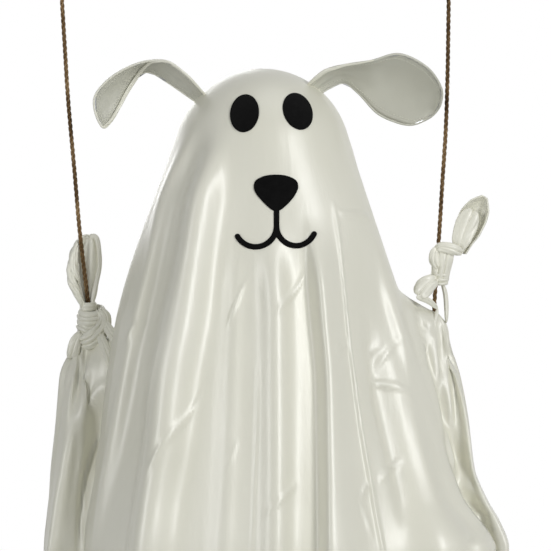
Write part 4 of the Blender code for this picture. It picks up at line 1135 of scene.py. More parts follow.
@dataclass
class DrapedSheet:
    """The satin sheet over the head, down to its rolled hem."""

    materials: Palette
    dome_rows: int = 22
    shoulder_rows: int = 7
    body_rows: int = 152
    front_steps: int = 9
    side_steps: int = 8
    back_steps: int = 7
    knee_half: Pair = (-0.194, 0.196)
    foot_half: Pair = (-0.228, 0.306)
    knee_depth: float = 0.162
    foot_depth: float = 0.212
    knee_edge: float = 0.05
    foot_edge: float = 0.092
    edge_azimuth: float = math.radians(77)
    hem_spread: float = 1.03
    back_lines: int = 11
    back_fold: float = 0.012
    stitch_drop: float = 0.768
    waist_drop: float = 0.56
    waist_pull: float = 0.0155
    fold_share: float = 1.75
    crease_share: float = 1.75
    grid: np.ndarray = field(init=False)
    zones: np.ndarray = field(init=False)

    def waist_share(self) -> float:
        """The waist's share of the way from the knee to the foot."""
        return (self.waist_drop - KNEE_DROP) / (FOOT_DROP - KNEE_DROP)

    def front(self) -> list[SheetLine]:
        """The lines of the front, from its left edge to its right one."""
        made = []
        left_edge, right_edge = zip(self.knee_half, self.foot_half)
        knee_row = self.knee_half, self.knee_depth, self.knee_edge
        foot_row = self.foot_half, self.foot_depth, self.foot_edge
        for knee, foot in (left_edge, *FRONT_PLACES, right_edge):
            depths = []
            for at, (halves, depth, edge) in ((knee, knee_row), (foot, foot_row)):
                half = halves[0] if at < 0 else halves[1]
                share = min(abs(at / half), 1.0)
                depths.append(edge + (depth - edge) * (1 - share ** 2) ** 0.6)
            half = self.knee_half[0] if knee < 0 else self.knee_half[1]
            azimuth = math.asin(math.sin(self.edge_azimuth) * knee / abs(half))
            share = self.waist_share()
            pull = self.waist_pull * max(foot / self.foot_half[1], 0.0) ** 3
            waist = knee + (foot - knee) * share - pull
            waist_depth = -depths[0] + (depths[0] - depths[1]) * share
            made.append(SheetLine(azimuth, [(KNEE_DROP, knee, -depths[0]),
                                            (self.waist_drop, waist, waist_depth),
                                            (FOOT_DROP, foot, -depths[1]),
                                            (HEM_DROP, foot, -depths[1] * self.hem_spread)]))
        return made

    def back(self) -> list[SheetLine]:
        """The lines of the back, from its right edge to its left one, by a rule."""
        made = []
        for k in range(self.back_lines):
            share = k / (self.back_lines - 1)
            azimuth = math.radians(122 + 116 * share)
            relief = self.back_fold * (1 if k % 2 else -1)
            bow = math.sin(math.pi * share) ** 0.6
            knee = (0.19 * math.sin(azimuth), -0.14 * math.cos(azimuth) + relief * 0.5 * bow)
            foot = (0.014 + 0.24 * math.cos(math.pi * share), 0.118 + 0.06 * bow + relief * bow)
            made.append(SheetLine(azimuth, [(KNEE_DROP, *knee), (FOOT_DROP, *foot),
                                            (HEM_DROP, foot[0], foot[1] * self.hem_spread)]))
        return made

    def sides(self) -> dict[Side, TiedSide]:
        """The two tied sides."""
        left = TiedSide(
            (-0.227, 0.0, NECK_DROPS[Side.LEFT]), (0.023, 0.014),
            ((0.369, -0.25), (0.44, -0.266), (0.52, -0.2765), (0.6, -0.2865), (0.63, -0.2895),
             (0.78, -0.293)),
            ((-82, (-0.214, -0.072)), (-86, (-0.246, -0.079)), (-90, (-0.284, -0.074)),
             (-95, (-0.2885, -0.02)), (-100, (-0.2885, 0.03)), (-106, (-0.272, 0.078)),
             (-113, (-0.246, 0.104))), above=0.018)
        right = TiedSide(
            (0.234, 0.0, NECK_DROPS[Side.RIGHT]), (0.01, 0.013),
            ((0.34, 0.244), (0.362, 0.2475), (0.413, 0.2625), (0.47, 0.2735), (0.53, 0.281),
             (0.573, 0.298), (0.6, 0.313), (0.63, 0.323), (0.78, 0.317)),
            ((83, (0.295, -0.076)), (87, (0.3215, -0.074)), (91, (0.323, -0.015)),
             (95, (0.323, 0.022)), (100, (0.323, 0.058)), (106, (0.316, 0.092)),
             (113, (0.288, 0.11))), above=0.05)
        return {Side.LEFT: left, Side.RIGHT: right}

    def shape(self) -> None:
        """Works out the sheet's grid with its folds and wrinkles."""
        tied = self.sides()
        left, right = tied[Side.LEFT].build()[::-1], tied[Side.RIGHT].build()
        front, back = self.front(), self.back()
        lines = left + front + right + back
        kinds = [Zone.LEFT] * len(left) + [Zone.FRONT] * len(front)
        kinds += [Zone.RIGHT] * len(right) + [Zone.BACK] * len(back)
        steps = {Zone.FRONT: self.front_steps, Zone.LEFT: self.side_steps,
                 Zone.RIGHT: self.side_steps, Zone.BACK: self.back_steps}
        drops = np.linspace(0.13, HEM_DROP, self.body_rows)
        rows = [line.points(self.dome_rows, self.shoulder_rows, drops) for line in lines]
        columns, zones = [], []
        count = len(rows)
        for k in range(count):
            a, b, c, d = (rows[(k + i) % count] for i in (-1, 0, 1, 2))
            gaps = [np.linalg.norm(q - p, axis=1, keepdims=True) + 1e-9 for p,
                    q in ((a, b), (b, c), (c, d))]
            leave = (c - a) * gaps[1] / (gaps[0] + gaps[1])
            arrive = (d - b) * gaps[1] / (gaps[1] + gaps[2])
            number = steps[kinds[k]]
            for i in range(number):
                t = i / number
                columns.append((1 + 2 * t) * (1 - t) ** 2 * b + t * (1 - t) ** 2 * leave
                               + t * t * (3 - 2 * t) * c - t * t * (1 - t) * arrive)
                zones.append(kinds[k] if kinds[k] == kinds[(k + 1) % count] else Zone.JOINED)
        grid = np.array(columns)
        self.zones = np.array(zones)
        grid += self.relief(grid)
        grid[:, :, 2] = -HANG_TO_CROWN - grid[:, :, 2]
        self.grid = grid

    def relief(self, grid: np.ndarray) -> np.ndarray:
        """Moves of all points for the folds and wrinkles, in (across, back, drop)."""
        across, drop = grid[:, :, 0], grid[:, :, 2]
        flipped = grid * np.array([1.0, 1.0, -1.0])
        normals = grid_normals(flipped, closed=True)
        for _ in range(3):
            normals = (normals + np.roll(normals, 1, 0) + np.roll(normals, -1, 0))
            normals /= np.maximum(np.linalg.norm(normals, axis=2, keepdims=True), 1e-12)
        moves = np.zeros(across.shape)
        front = (self.zones == Zone.FRONT)[:, None]
        ends = self.edge_at(drop, 0), self.edge_at(drop, 1)
        edge = smoothstep(0.0, 0.012, np.minimum(across - ends[0], ends[1] - across))
        folds, lows, highs = (sum(band.relief(at, drop) for band in FRONT_BANDS)
                              for at in (across, *ends))
        share = np.clip((across - ends[0]) / (ends[1] - ends[0]), 0.0, 1.0)
        folds = self.fold_share * (folds - lows * (1 - share) - highs * share)
        inside = np.where(front, 1 - (2 * share - 1) ** 4, 0.0)
        folds = folds - inside * (folds * inside).sum(axis=0) / (inside ** 2).sum(axis=0)
        folds += self.crease_share * sum(crease.relief(across, drop) for crease in FRONT_CREASES)
        moves += np.where(front, folds * edge, 0.0)
        behind = (self.zones == Zone.BACK)[:, None] & (grid[:, :, 1] > 0.0)
        moves += np.where(behind, sum(band.relief(across, drop) for band in BACK_BANDS), 0.0)
        for zone, side in ((Zone.LEFT, Side.LEFT), (Zone.RIGHT, Side.RIGHT)):
            outward = across if side is Side.RIGHT else -across
            joined = (self.zones == Zone.JOINED)[:, None] & (outward > 0.0)
            here = ((self.zones == zone)[:, None] | joined) & (grid[:, :, 1] < 0.0)
            shade = smoothstep(-0.02, 0.01, -grid[:, :, 1])
            moves += np.where(here, sum(b.relief(across, drop) for b in ARM_BANDS[side]) * shade,
                              0.0)
            moves += self.gathers(zone, side, drop)
        moves = moves[:, :, None] * normals
        moves[:, :, 2] *= -1.0
        return moves

    def gathers(self, zone: int, side: Side, drop: np.ndarray) -> np.ndarray:
        """Small folds that fan out from the knot of a tied side."""
        here = np.flatnonzero(self.zones == zone)
        neck = NECK_DROPS[side]
        share = (here - here[0]) / len(here)
        wave = 0.62 * np.cos(2 * np.pi * 6.5 * share + 0.6)
        wave = wave + 0.38 * np.cos(2 * np.pi * 11 * share + 2.1)
        crests = np.sign(wave) * np.abs(wave) ** 0.7
        fade = 1 - 0.75 * smoothstep(neck + 0.05, 0.62, drop)
        size = 0.0032 * smoothstep(neck - 0.03, neck + 0.02, drop) * fade
        ends = np.sin(np.pi * np.clip(share, 0, 1)) ** 0.5
        made = np.zeros(drop.shape)
        made[here] = crests[:, None] * size[here] * ends[:, None]
        return made

    def edge_at(self, drop: np.ndarray, which: int) -> np.ndarray:
        """The front's left or right edge at each drop."""
        knee, foot = self.knee_half[which], self.foot_half[which]
        sign = -1 if which == 0 else 1
        waist = knee + (foot - knee) * self.waist_share() - self.waist_pull * which
        levels = [0.08, KNEE_DROP, self.waist_drop, FOOT_DROP, HEM_DROP]
        values = [sign * 0.11, knee, waist, foot, foot]
        return curve_values(levels, values, slopes_through(levels, values),
                            np.clip(drop, 0.08, HEM_DROP))

    def build(self) -> bpy.types.Object:
        """Makes the sheet as one mesh with a turned hem."""
        self.shape()
        top = np.array([0.0, 0.0, -HANG_TO_CROWN])
        inward = grid_normals(self.grid, closed=True)[:, -1, :]
        hem = []
        for out, up in ((0.0, -0.0012), (-0.0012, -0.0016), (-0.0022, -0.0006), (-0.0024, 0.004),
                        (-0.0024, 0.014)):
            row = self.grid[:, -1, :] + inward * out
            row[:, 2] += up
            hem.append(row)
        full = np.concatenate([self.grid, np.stack(hem, axis=1)], axis=1)
        columns, rows = full.shape[:2]
        points = list(full.reshape(-1, 3)) + [top]
        faces: list = list(grid_faces(columns, rows, closed=True))
        faces += [(columns * rows, k * rows, ((k + 1) % columns) * rows) for k in range(columns)]
        return add_mesh("satin_sheet", points, faces, self.materials.satin)

    def seams(self) -> list[bpy.types.Object]:
        """The hem's stitches and the seam down the back."""
        normals = grid_normals(self.grid, closed=True)
        row = int(np.argmin(np.abs(self.grid[0, :, 2] - height(self.stitch_drop))))
        hem = [Vector(p) for p in self.grid[:, row] + normals[:, row] * 0.0002]
        stitches = StitchLine().build("hem_stitches", hem + hem[:1], self.materials.thread)
        back = np.flatnonzero(self.zones == Zone.BACK)
        middle = back[len(back) // 2]
        line = [Vector(p) for p in self.grid[middle, 8:-1:2] + normals[middle, 8:-1:2] * 0.0002]
        return [stitches, tube("back_seam", smooth_route(line, 260), 0.0013, self.materials.satin,
                               8)]


# Knots, ears, face and ropes


@dataclass(frozen=True)
class TiedHand:
    """One side's knot of cloth round its rope, with the tail that stands up from it."""

    side: Side
    wraps: tuple[ClothRoll, ...]
    strands: tuple[ClothRoll, ...]
    tail: CuppedLeaf

    def build(self, palette: Palette) -> list[bpy.types.Object]:
        """Makes the knot, its strands and its tail."""
        name = self.side.value
        rolls = [roll.build(f"{name}_wrap_{k}", palette.satin) for k, roll in enumerate(self.wraps)]
        knot = join(f"{name}_knot", rolls)
        strands = join(f"{name}_knot_strands", [roll.build(f"{name}_strand_{k}", palette.satin)
                                                for k, roll in enumerate(self.strands)])
        tail = self.tail.build(f"{name}_tail", palette.satin, palette.satin)
        return [knot, strands, tail]


LEFT_HAND = TiedHand(
    Side.LEFT,
    wraps=(
        ClothRoll(wrap_stops((-0.231, 0.0, 0.3165), (0.0072, 0.006), 0.01, 0.0075, 0.001),
            2, 0.16, closed=True, strips=2),
        ClothRoll(wrap_stops((-0.2262, 0.0, 0.331), (0.0132, 0.0105), 0.023, 0.011, 0.005, 0.002),
            3, 0.2, closed=True, steps=60, strips=4),
        ClothRoll(wrap_stops((-0.2285, 0.0, 0.349), (0.012, 0.01), 0.018, 0.0105, 0.002, -0.012),
            3, 0.2, closed=True, steps=60, strips=3),
        ClothRoll(((-0.217, -0.008, 0.318, 0.01, 0.01), (-0.2085, -0.011, 0.33, 0.014, 0.012),
            (-0.211, -0.017, 0.344, 0.018, 0.014), (-0.221, -0.021, 0.356, 0.02, 0.015),
            (-0.232, -0.02, 0.363, 0.019, 0.015), (-0.24, -0.013, 0.364, 0.014, 0.011)),
            4, 0.24, strips=3),
    ),
    strands=(
        ClothRoll(((-0.212, -0.01, 0.332, 0.007, 0.007), (-0.203, -0.025, 0.345, 0.01, 0.008),
            (-0.193, -0.04, 0.36, 0.01, 0.008), (-0.185, -0.052, 0.374, 0.006, 0.005)),
            4, 0.28, strips=2),
        ClothRoll(((-0.217, -0.018, 0.348, 0.008, 0.008), (-0.209, -0.034, 0.364, 0.01, 0.009),
            (-0.201, -0.048, 0.383, 0.01, 0.008), (-0.1955, -0.058, 0.403, 0.006, 0.005)),
            4, 0.28, strips=2),
        ClothRoll(((-0.239, -0.01, 0.35, 0.01, 0.008), (-0.247, -0.013, 0.364, 0.013, 0.008),
            (-0.253, -0.012, 0.386, 0.013, 0.006)), 3, 0.25, strips=2),
        ClothRoll(((-0.2375, 0.001, 0.319, 0.007, 0.007), (-0.24, 0.002, 0.306, 0.009, 0.008),
            (-0.2465, 0.003, 0.2876, 0.012, 0.008), (-0.2505, 0.004, 0.265, 0.018, 0.009),
            (-0.2485, 0.008, 0.2437, 0.015, 0.009), (-0.2394, 0.011, 0.2278, 0.012, 0.009),
            (-0.229, 0.012, 0.2215, 0.008, 0.008)), 5, 0.42, spiral=-9.0, cap=0.1, steps=150),
        ClothRoll(((-0.2341, 0.011, 0.2245, 0.006, 0.007), (-0.2434, 0.006, 0.2304, 0.009, 0.009),
            (-0.2487, 0.002, 0.2437, 0.01, 0.01), (-0.2473, 0.0, 0.2624, 0.006, 0.007)), 3, 0.3),
        ClothRoll(((-0.2473, 0.004, 0.2358, 0.006, 0.007), (-0.252, 0.0, 0.2517, 0.01, 0.01),
            (-0.2513, -0.003, 0.2677, 0.01, 0.01), (-0.2434, -0.002, 0.2836, 0.006, 0.007)),
            3, 0.3),
        ClothRoll(((-0.2527, 0.001, 0.2517, 0.006, 0.007), (-0.256, -0.003, 0.2677, 0.01, 0.01),
            (-0.2513, -0.006, 0.2836, 0.01, 0.01), (-0.242, -0.003, 0.2969, 0.006, 0.007)), 3, 0.3),
        ClothRoll(((-0.256, -0.001, 0.2677, 0.006, 0.007), (-0.2547, -0.005, 0.2836, 0.009, 0.01),
            (-0.2473, -0.007, 0.2969, 0.01, 0.01), (-0.2394, -0.004, 0.3076, 0.007, 0.007)),
            3, 0.3),
        ClothRoll(((-0.254, -0.002, 0.2836, 0.006, 0.007), (-0.2487, -0.006, 0.2969, 0.008, 0.009),
            (-0.242, -0.007, 0.3076, 0.009, 0.009), (-0.2367, -0.005, 0.3169, 0.008, 0.007)),
            3, 0.3),
        ClothRoll(((-0.232, 0.012, 0.2225, 0.008, 0.008), (-0.2215, 0.012, 0.225, 0.008, 0.009),
            (-0.2172, 0.01, 0.2437, 0.0065, 0.012), (-0.2166, 0.009, 0.2624, 0.0065, 0.012),
            (-0.22, 0.007, 0.281, 0.007, 0.01), (-0.2247, 0.004, 0.3023, 0.007, 0.008),
            (-0.227, 0.002, 0.318, 0.007, 0.007)), 3, 0.22, spiral=0.8, cap=0.08, steps=60),
    ),
    tail=CuppedLeaf(((-0.2295, 0.003, 0.317), (-0.231, 0.007, 0.2876), (-0.2315, 0.009, 0.257),
        (-0.23, 0.011, 0.225)), (0.003, 0.0095, 0.0125, 0.0135, 0.012, 0.007),
        -0.22, 8.0, 2.0, 0.0007),
)

RIGHT_HAND = TiedHand(
    Side.RIGHT,
    wraps=(
        ClothRoll(((0.241, -0.001, 0.237, 0.026, 0.02), (0.239, -0.002, 0.253, 0.0255, 0.021),
            (0.2375, -0.001, 0.27, 0.021, 0.019), (0.2368, 0.0, 0.285, 0.018, 0.016)),
            3, 0.2, cap=0.1, strips=3),
        ClothRoll(wrap_stops((0.2372, 0.0, 0.2725), (0.0098, 0.0098), 0.0058, 0.0062, 0.002),
            2, 0.15, closed=True),
        ClothRoll(wrap_stops((0.2368, 0.0, 0.279), (0.0092, 0.0092), 0.0058, 0.0062, 0.002),
            2, 0.15, closed=True),
        ClothRoll(wrap_stops((0.2366, 0.0, 0.285), (0.0082, 0.0082), 0.0056, 0.006, 0.001),
            2, 0.15, closed=True),
        ClothRoll(((0.235, -0.008, 0.238, 0.007, 0.008), (0.2292, -0.009, 0.244, 0.01, 0.01),
            (0.2285, -0.009, 0.255, 0.011, 0.01), (0.234, -0.008, 0.266, 0.008, 0.008)),
            5, 0.28, strips=2),
        ClothRoll(((0.229, -0.008, 0.24, 0.008, 0.008), (0.239, -0.013, 0.2375, 0.011, 0.009),
            (0.253, -0.012, 0.24, 0.012, 0.009), (0.266, -0.005, 0.245, 0.009, 0.009)),
            4, 0.28, strips=2),
    ),
    strands=(
        ClothRoll(((0.233, -0.006, 0.28, 0.009, 0.009), (0.225, -0.011, 0.283, 0.016, 0.011),
            (0.2155, -0.017, 0.29, 0.02, 0.011), (0.2065, -0.026, 0.302, 0.017, 0.009)),
            4, 0.22, strips=2),
        ClothRoll(((0.233, -0.012, 0.319, 0.007, 0.006), (0.224, -0.017, 0.311, 0.009, 0.007),
            (0.213, -0.023, 0.305, 0.011, 0.007), (0.204, -0.031, 0.303, 0.009, 0.005)), 4, 0.26),
        ClothRoll(((0.233, -0.012, 0.318, 0.006, 0.006), (0.2285, -0.018, 0.337, 0.006, 0.006),
            (0.223, -0.026, 0.358, 0.006, 0.005), (0.218, -0.034, 0.384, 0.005, 0.004)), 3, 0.26),
        ClothRoll(((0.263, -0.003, 0.244, 0.009, 0.008), (0.265, -0.003, 0.228, 0.02, 0.01),
            (0.2725, -0.001, 0.206, 0.024, 0.01), (0.282, 0.0, 0.188, 0.017, 0.008)),
            4, 0.3, strips=2),
        ClothRoll(((0.239, 0.004, 0.284, 0.006, 0.009), (0.2435, 0.004, 0.298, 0.007, 0.011),
            (0.245, 0.001, 0.316, 0.007, 0.011), (0.245, -0.004, 0.338, 0.005, 0.009)), 3, 0.22),
    ),
    tail=CuppedLeaf(((0.265, 0.0, 0.245), (0.27, 0.003, 0.225), (0.2785, 0.005, 0.203),
        (0.288, 0.004, 0.185), (0.296, 0.002, 0.171)), (0.006, 0.012, 0.017, 0.018, 0.015, 0.004),
        0.55, -14.0, 1.6, 0.0012),
)


@dataclass(frozen=True)
class WiredEar:
    """One ear: a satin cover and a lining, bound together over a rim wire."""

    side: Side
    near: tuple[Triple, ...]
    far: tuple[Triple, ...]
    fold: tuple[tuple[float, float, float, float, float], ...]
    inset: float = 0.0016
    wall: float = 0.0008
    gap: float = 0.0003
    camber: float = 0.1
    hem: float = 0.0055
    rim: float = 0.0016
    stations: int = 90
    columns: int = 26

    def faces(self) -> tuple[np.ndarray, np.ndarray]:
        """The ear's middle face and its outward directions, as grids (columns, stations, 3)."""
        near = smooth_route([place(*p) for p in self.near], self.stations)
        far = smooth_route([place(*p) for p in self.far], self.stations)
        sign = 1.0 if self.side is Side.RIGHT else -1.0
        rows, ups = [], []
        shares = np.linspace(0, 1, self.columns)
        for i in range(self.stations - 1):
            a, b = near[i], far[i]
            before, after = max(i - 1, 0), min(i + 1, self.stations - 1)
            run = (near[after] + far[after] - near[before] - far[before]).normalized()
            across = (b - a).normalized()
            width = max((b - a).length - 2 * self.inset, 0.001)
            up = run.cross(across).normalized() * sign
            along = i / (self.stations - 1)
            bow = self.camber * width * 4 * shares * (1 - shares)
            pleat = 0.001 * np.cos(2 * np.pi * 2.5 * shares) * (1 - smoothstep(0.1, 0.55, along))
            edge = np.minimum(shares, 1 - shares) * width
            fold = 0.0006 * (1 - smoothstep(self.hem - 0.0008, self.hem + 0.0008, edge))
            ripple = 0.0005 * math.sin(along * 33.0) * np.sin(np.pi * shares * 3)
            lift = bow + (pleat + ripple) * np.sin(np.pi * shares) + fold
            base = np.array(a) + np.outer(self.inset + width * shares, across)
            rows.append(base + np.outer(lift, up))
            ups.append(np.repeat(np.array(up)[None, :], self.columns, 0))
        return np.array(rows).transpose(1, 0, 2), np.array(ups).transpose(1, 0, 2)

    def build(self, palette: Palette) -> dict[str, bpy.types.Object]:
        """Makes the cover, the lining, the bound rim and its stitches."""
        name = self.side.value
        grid, ups = self.faces()
        cover = shell_between(f"{name}_ear_satin", grid + ups * (self.gap + self.wall),
                              grid + ups * self.gap,
                              palette.satin)
        # The lining's finish carries painted shade in its greyer colour.
        lining = shell_between(f"{name}_ear_inside", grid - ups * self.gap,
                               grid - ups * (self.gap + self.wall), palette.lining)
        rim = [place(*p) for p in self.near] + [place(*p) for p in self.far[-2::-1]]
        line = smooth_route(rim, 220)
        # The right ear's binding takes the lining's greyer finish as painted shade; the left ear's
        # binding stays in the bright satin.
        thread = palette.satin if self.side is Side.LEFT else palette.lining
        binding = tube(f"{name}_ear_binding", line, self.rim, thread, 14)
        seam = []
        lift = self.gap + self.wall + 0.0001
        for k in range(2, self.stations - 4):
            seam.append(Vector(grid[self.seam_column(grid, k), k] - ups[0, k] * lift))
        for k in range(self.stations - 5, 2, -1):
            seam.append(Vector(grid[-1 - self.seam_column(grid, k), k] - ups[0, k] * lift))
        stitches = StitchLine().build(f"{name}_ear_seam", seam, palette.thread)
        fold = ClothRoll(self.fold, 2, 0.12, cap=0.06, steps=120).build(f"{name}_ear_fold",
                                                                        palette.satin)
        return {"cover": cover, "lining": lining, "binding": binding, "stitches": stitches,
                "fold": fold}

    def seam_column(self, grid: np.ndarray, station: int) -> int:
        """The column that lies at the hem's width from the edge at a station."""
        reach = np.linalg.norm(grid[:, station] - grid[0, station], axis=1)
        return int(np.clip(np.searchsorted(reach, self.hem), 1, self.columns // 2 - 1))


EARS = (
    WiredEar(Side.LEFT,
             ((-0.072, -0.038, 0.04), (-0.096, -0.06, 0.015), (-0.121, -0.066, -0.004),
              (-0.148, -0.06, -0.006), (-0.176, -0.052, 0.002), (-0.202, -0.048, 0.018),
              (-0.219, -0.047, 0.039), (-0.219, -0.046, 0.06), (-0.209, -0.046, 0.08)),
             ((-0.084, -0.018, 0.047), (-0.1, -0.016, 0.036), (-0.126, -0.014, 0.018),
              (-0.149, -0.026, 0.006), (-0.166, -0.022, 0.013), (-0.179, -0.02, 0.033),
              (-0.19, -0.024, 0.056), (-0.199, -0.034, 0.072), (-0.209, -0.046, 0.08)),
             ((-0.2085, -0.0465, 0.0795, 0.0028, 0.0024), (-0.199, -0.036, 0.07, 0.0042, 0.003),
              (-0.189, -0.027, 0.053, 0.0052, 0.0034), (-0.1785, -0.024, 0.033, 0.006, 0.0036),
              (-0.167, -0.027, 0.0155, 0.006, 0.0036), (-0.157, -0.038, 0.0035, 0.0054, 0.0034),
              (-0.145, -0.058, -0.0045, 0.0044, 0.003), (-0.133, -0.064, -0.0055, 0.004, 0.003),
              (-0.121, -0.0665, -0.0038, 0.004, 0.003), (-0.108, -0.064, 0.005, 0.004, 0.003),
              (-0.096, -0.061, 0.0145, 0.004, 0.003), (-0.084, -0.051, 0.027, 0.0036, 0.0028),
              (-0.0735, -0.04, 0.0385, 0.0028, 0.0024))),
    WiredEar(Side.RIGHT,
             ((0.058, -0.033, 0.026), (0.083, -0.05, 0.006), (0.11, -0.06, -0.001),
              (0.144, -0.063, -0.006), (0.18, -0.06, -0.015), (0.216, -0.05, 0.001),
              (0.236, -0.032, 0.026), (0.237, -0.02, 0.046), (0.229, -0.006, 0.06)),
             ((0.076, -0.014, 0.035), (0.09, -0.01, 0.026), (0.109, -0.004, 0.019),
              (0.129, 0.002, 0.033), (0.153, 0.008, 0.058), (0.178, 0.012, 0.07),
              (0.198, 0.01, 0.074), (0.215, 0.004, 0.069), (0.229, -0.006, 0.06)),
             ((0.059, -0.034, 0.025, 0.0036, 0.003), (0.072, -0.045, 0.0145, 0.0062, 0.004),
              (0.084, -0.052, 0.0065, 0.0062, 0.004), (0.098, -0.057, 0.0025, 0.005, 0.0036),
              (0.112, -0.061, -0.001, 0.004, 0.003), (0.13, -0.063, -0.0035, 0.003, 0.0026),
              (0.148, -0.064, -0.007, 0.0022, 0.0022))),
)


class FeltFace:
    """The felt eyes, nose and mouth that lie on the front of the sheet."""

    gap = 0.0004
    thickness = 0.0013
    eye_half = (0.0187, 0.0252)
    eyes = {"left_eye": (-0.0221, 0.0649, math.radians(7)),
            "right_eye": (0.0467, 0.0618, math.radians(-20))}
    nose_corners = ((0.0186, 0.145), (0.033, 0.1466), (0.044, 0.152), (0.0472, 0.16),
                    (0.0445, 0.169), (0.037, 0.1795), (0.027, 0.189), (0.019, 0.1925),
                    (0.011, 0.189), (0.001, 0.1795), (-0.0075, 0.169), (-0.01, 0.16),
                    (-0.0068, 0.152), (0.0042, 0.1466))
    stroke = 0.0072
    join_at = (0.0193, 0.2115)
    stem_top = 0.1915
    arcs = ((-1, 0.0268, math.radians(150)), (1, 0.0252, math.radians(156)))

    def __init__(self, sheet: bpy.types.Object, palette: Palette) -> None:
        work = bmesh.new()
        work.from_mesh(sheet.data)
        self.tree = BVHTree.FromBMesh(work)
        work.free()
        self.palette = palette

    def eye_outline(self, across: float, drop: float, lean: float) -> list[Pair]:
        """An eye's leaning oval."""
        made = []
        for k in range(96):
            turn = 2 * math.pi * k / 96
            x, up = self.eye_half[0] * math.cos(turn), self.eye_half[1] * math.sin(turn)
            made.append((across + x * math.cos(lean) + up * math.sin(lean),
                         drop - up * math.cos(lean) + x * math.sin(lean)))
        return made

    def nose_outline(self) -> list[Pair]:
        """The nose's rounded triangle."""
        route = smooth_route([(x, d, 0.0) for x, d in self.nose_corners], 110, closed=True)
        return [(p.x, p.y) for p in route]

    def mouth_outline(self) -> list[Pair]:
        """The mouth: a stem that splits in two arcs with round ends."""
        x0, d0 = self.join_at
        half = self.stroke / 2

        def arc(side: int, radius: float, sweep: float, off: float) -> list[Pair]:
            centre = x0 + side * radius
            turns = [sweep * k / 40 for k in range(41)]
            return [(centre - side * (radius + off) * math.cos(t),
                     d0 + (radius + off) * math.sin(t))
                    for t in turns]

        def cap(side: int, radius: float, sweep: float) -> list[Pair]:
            centre = x0 + side * radius
            made = []
            for k in range(1, 10):
                turn = math.pi * k / 10
                out, on = radius + half * math.cos(turn), half * math.sin(turn)
                made.append((centre - side * (out * math.cos(sweep) - on * math.sin(sweep)),
                             d0 + out * math.sin(sweep) + on * math.cos(sweep)))
            return made

        left, right = self.arcs
        outer_right = [p for p in arc(*right, half) if p[0] > x0]
        outer_left = [p for p in arc(*left, half)[::-1] if p[0] < x0]
        stem = [(x0 + half, self.stem_top), (x0 - half, self.stem_top)]
        return (outer_right + cap(*right) + arc(*right, -half)[::-1] + stem + arc(*left, -half)
                + cap(*left)[::-1] + outer_left)

    def lay(self, across: float, drop: float, lift: float) -> Vector:
        """The point on the sheet's front behind a place, lifted off the cloth."""
        hit, normal, _, _ = self.tree.ray_cast(Vector((across, -0.6, height(drop))),
                                               Vector((0.0, 1.0, 0.0)))
        return hit + normal * (lift if normal.y < 0 else -lift)

    def piece(self, name: str, outline: list[Pair]) -> bpy.types.Object:
        """One piece of felt with a soft cut edge."""
        edge = [Vector(p) for p in outline]
        count = len(edge)
        area = sum(edge[k - 1].x * edge[k].y - edge[k].x * edge[k - 1].y for k in range(count))
        points, lifts = list(edge), [0.35 * self.thickness] * count
        for inset, share in ((0.0003, 0.8), (0.0009, 1.0)):
            for k in range(count):
                run = (edge[(k + 1) % count] - edge[k - 1]).normalized()
                turn = Vector((-run.y, run.x)) * math.copysign(1, area)
                at = edge[k] + turn * inset
                if self.depth_inside(at, edge) > inset * 0.8:
                    points.append(at)
                    lifts.append(share * self.thickness)
        low = Vector((min(p.x for p in edge), min(p.y for p in edge)))
        high = Vector((max(p.x for p in edge), max(p.y for p in edge)))
        step = 0.0022
        for i in range(int((high.x - low.x) / step) + 1):
            for j in range(int((high.y - low.y) / step) + 1):
                at = low + Vector((i * step, j * step))
                if self.depth_inside(at, edge) > 0.0017:
                    points.append(at)
                    lifts.append(self.thickness)
        spots, _, faces, origins, _, _ = delaunay_2d_cdt(points, [(k, (k + 1) % count)
                                                                  for k in range(count)],
                                                         [], 1, 1e-7)
        made = []
        for at, origin in zip(spots, origins):
            made.append(self.lay(at.x, at.y, self.gap + lifts[origin[0]]))
        base = len(made)
        made += [self.lay(p.x, p.y, self.gap) for p in edge]
        rim = {origin[0]: k for k, origin in enumerate(origins) if origin and origin[0] < count}
        walls = [(rim[k], rim[(k + 1) % count], base + (k + 1) % count, base + k)
                 for k in range(count)]
        return add_mesh(name, made, [tuple(f) for f in faces] + walls, self.palette.felt)

    @staticmethod
    def depth_inside(at: Vector, edge: list[Vector]) -> float:
        """How deep a place lies inside an outline, or -1 outside."""
        inside, best = False, 1.0
        for a, b in zip(edge, edge[1:] + edge[:1]):
            crosses = (a.y > at.y) != (b.y > at.y)
            if crosses and at.x < a.x + (b.x - a.x) * (at.y - a.y) / (b.y - a.y):
                inside = not inside
            run = b - a
            share = min(max((at - a).dot(run) / max(run.length_squared, 1e-12), 0.0), 1.0)
            best = min(best, (at - a - run * share).length)
        return best if inside else -1.0

    def build(self) -> dict[str, bpy.types.Object]:
        """Makes all of the felt pieces, by the solid that each one stands for."""
        made = {node: self.piece(f"felt_{node}", self.eye_outline(*eye)) for node,
                eye in self.eyes.items()}
        made["nose"] = self.piece("felt_nose", self.nose_outline())
        made["mouth"] = self.piece("felt_mouth", self.mouth_outline())
        return made


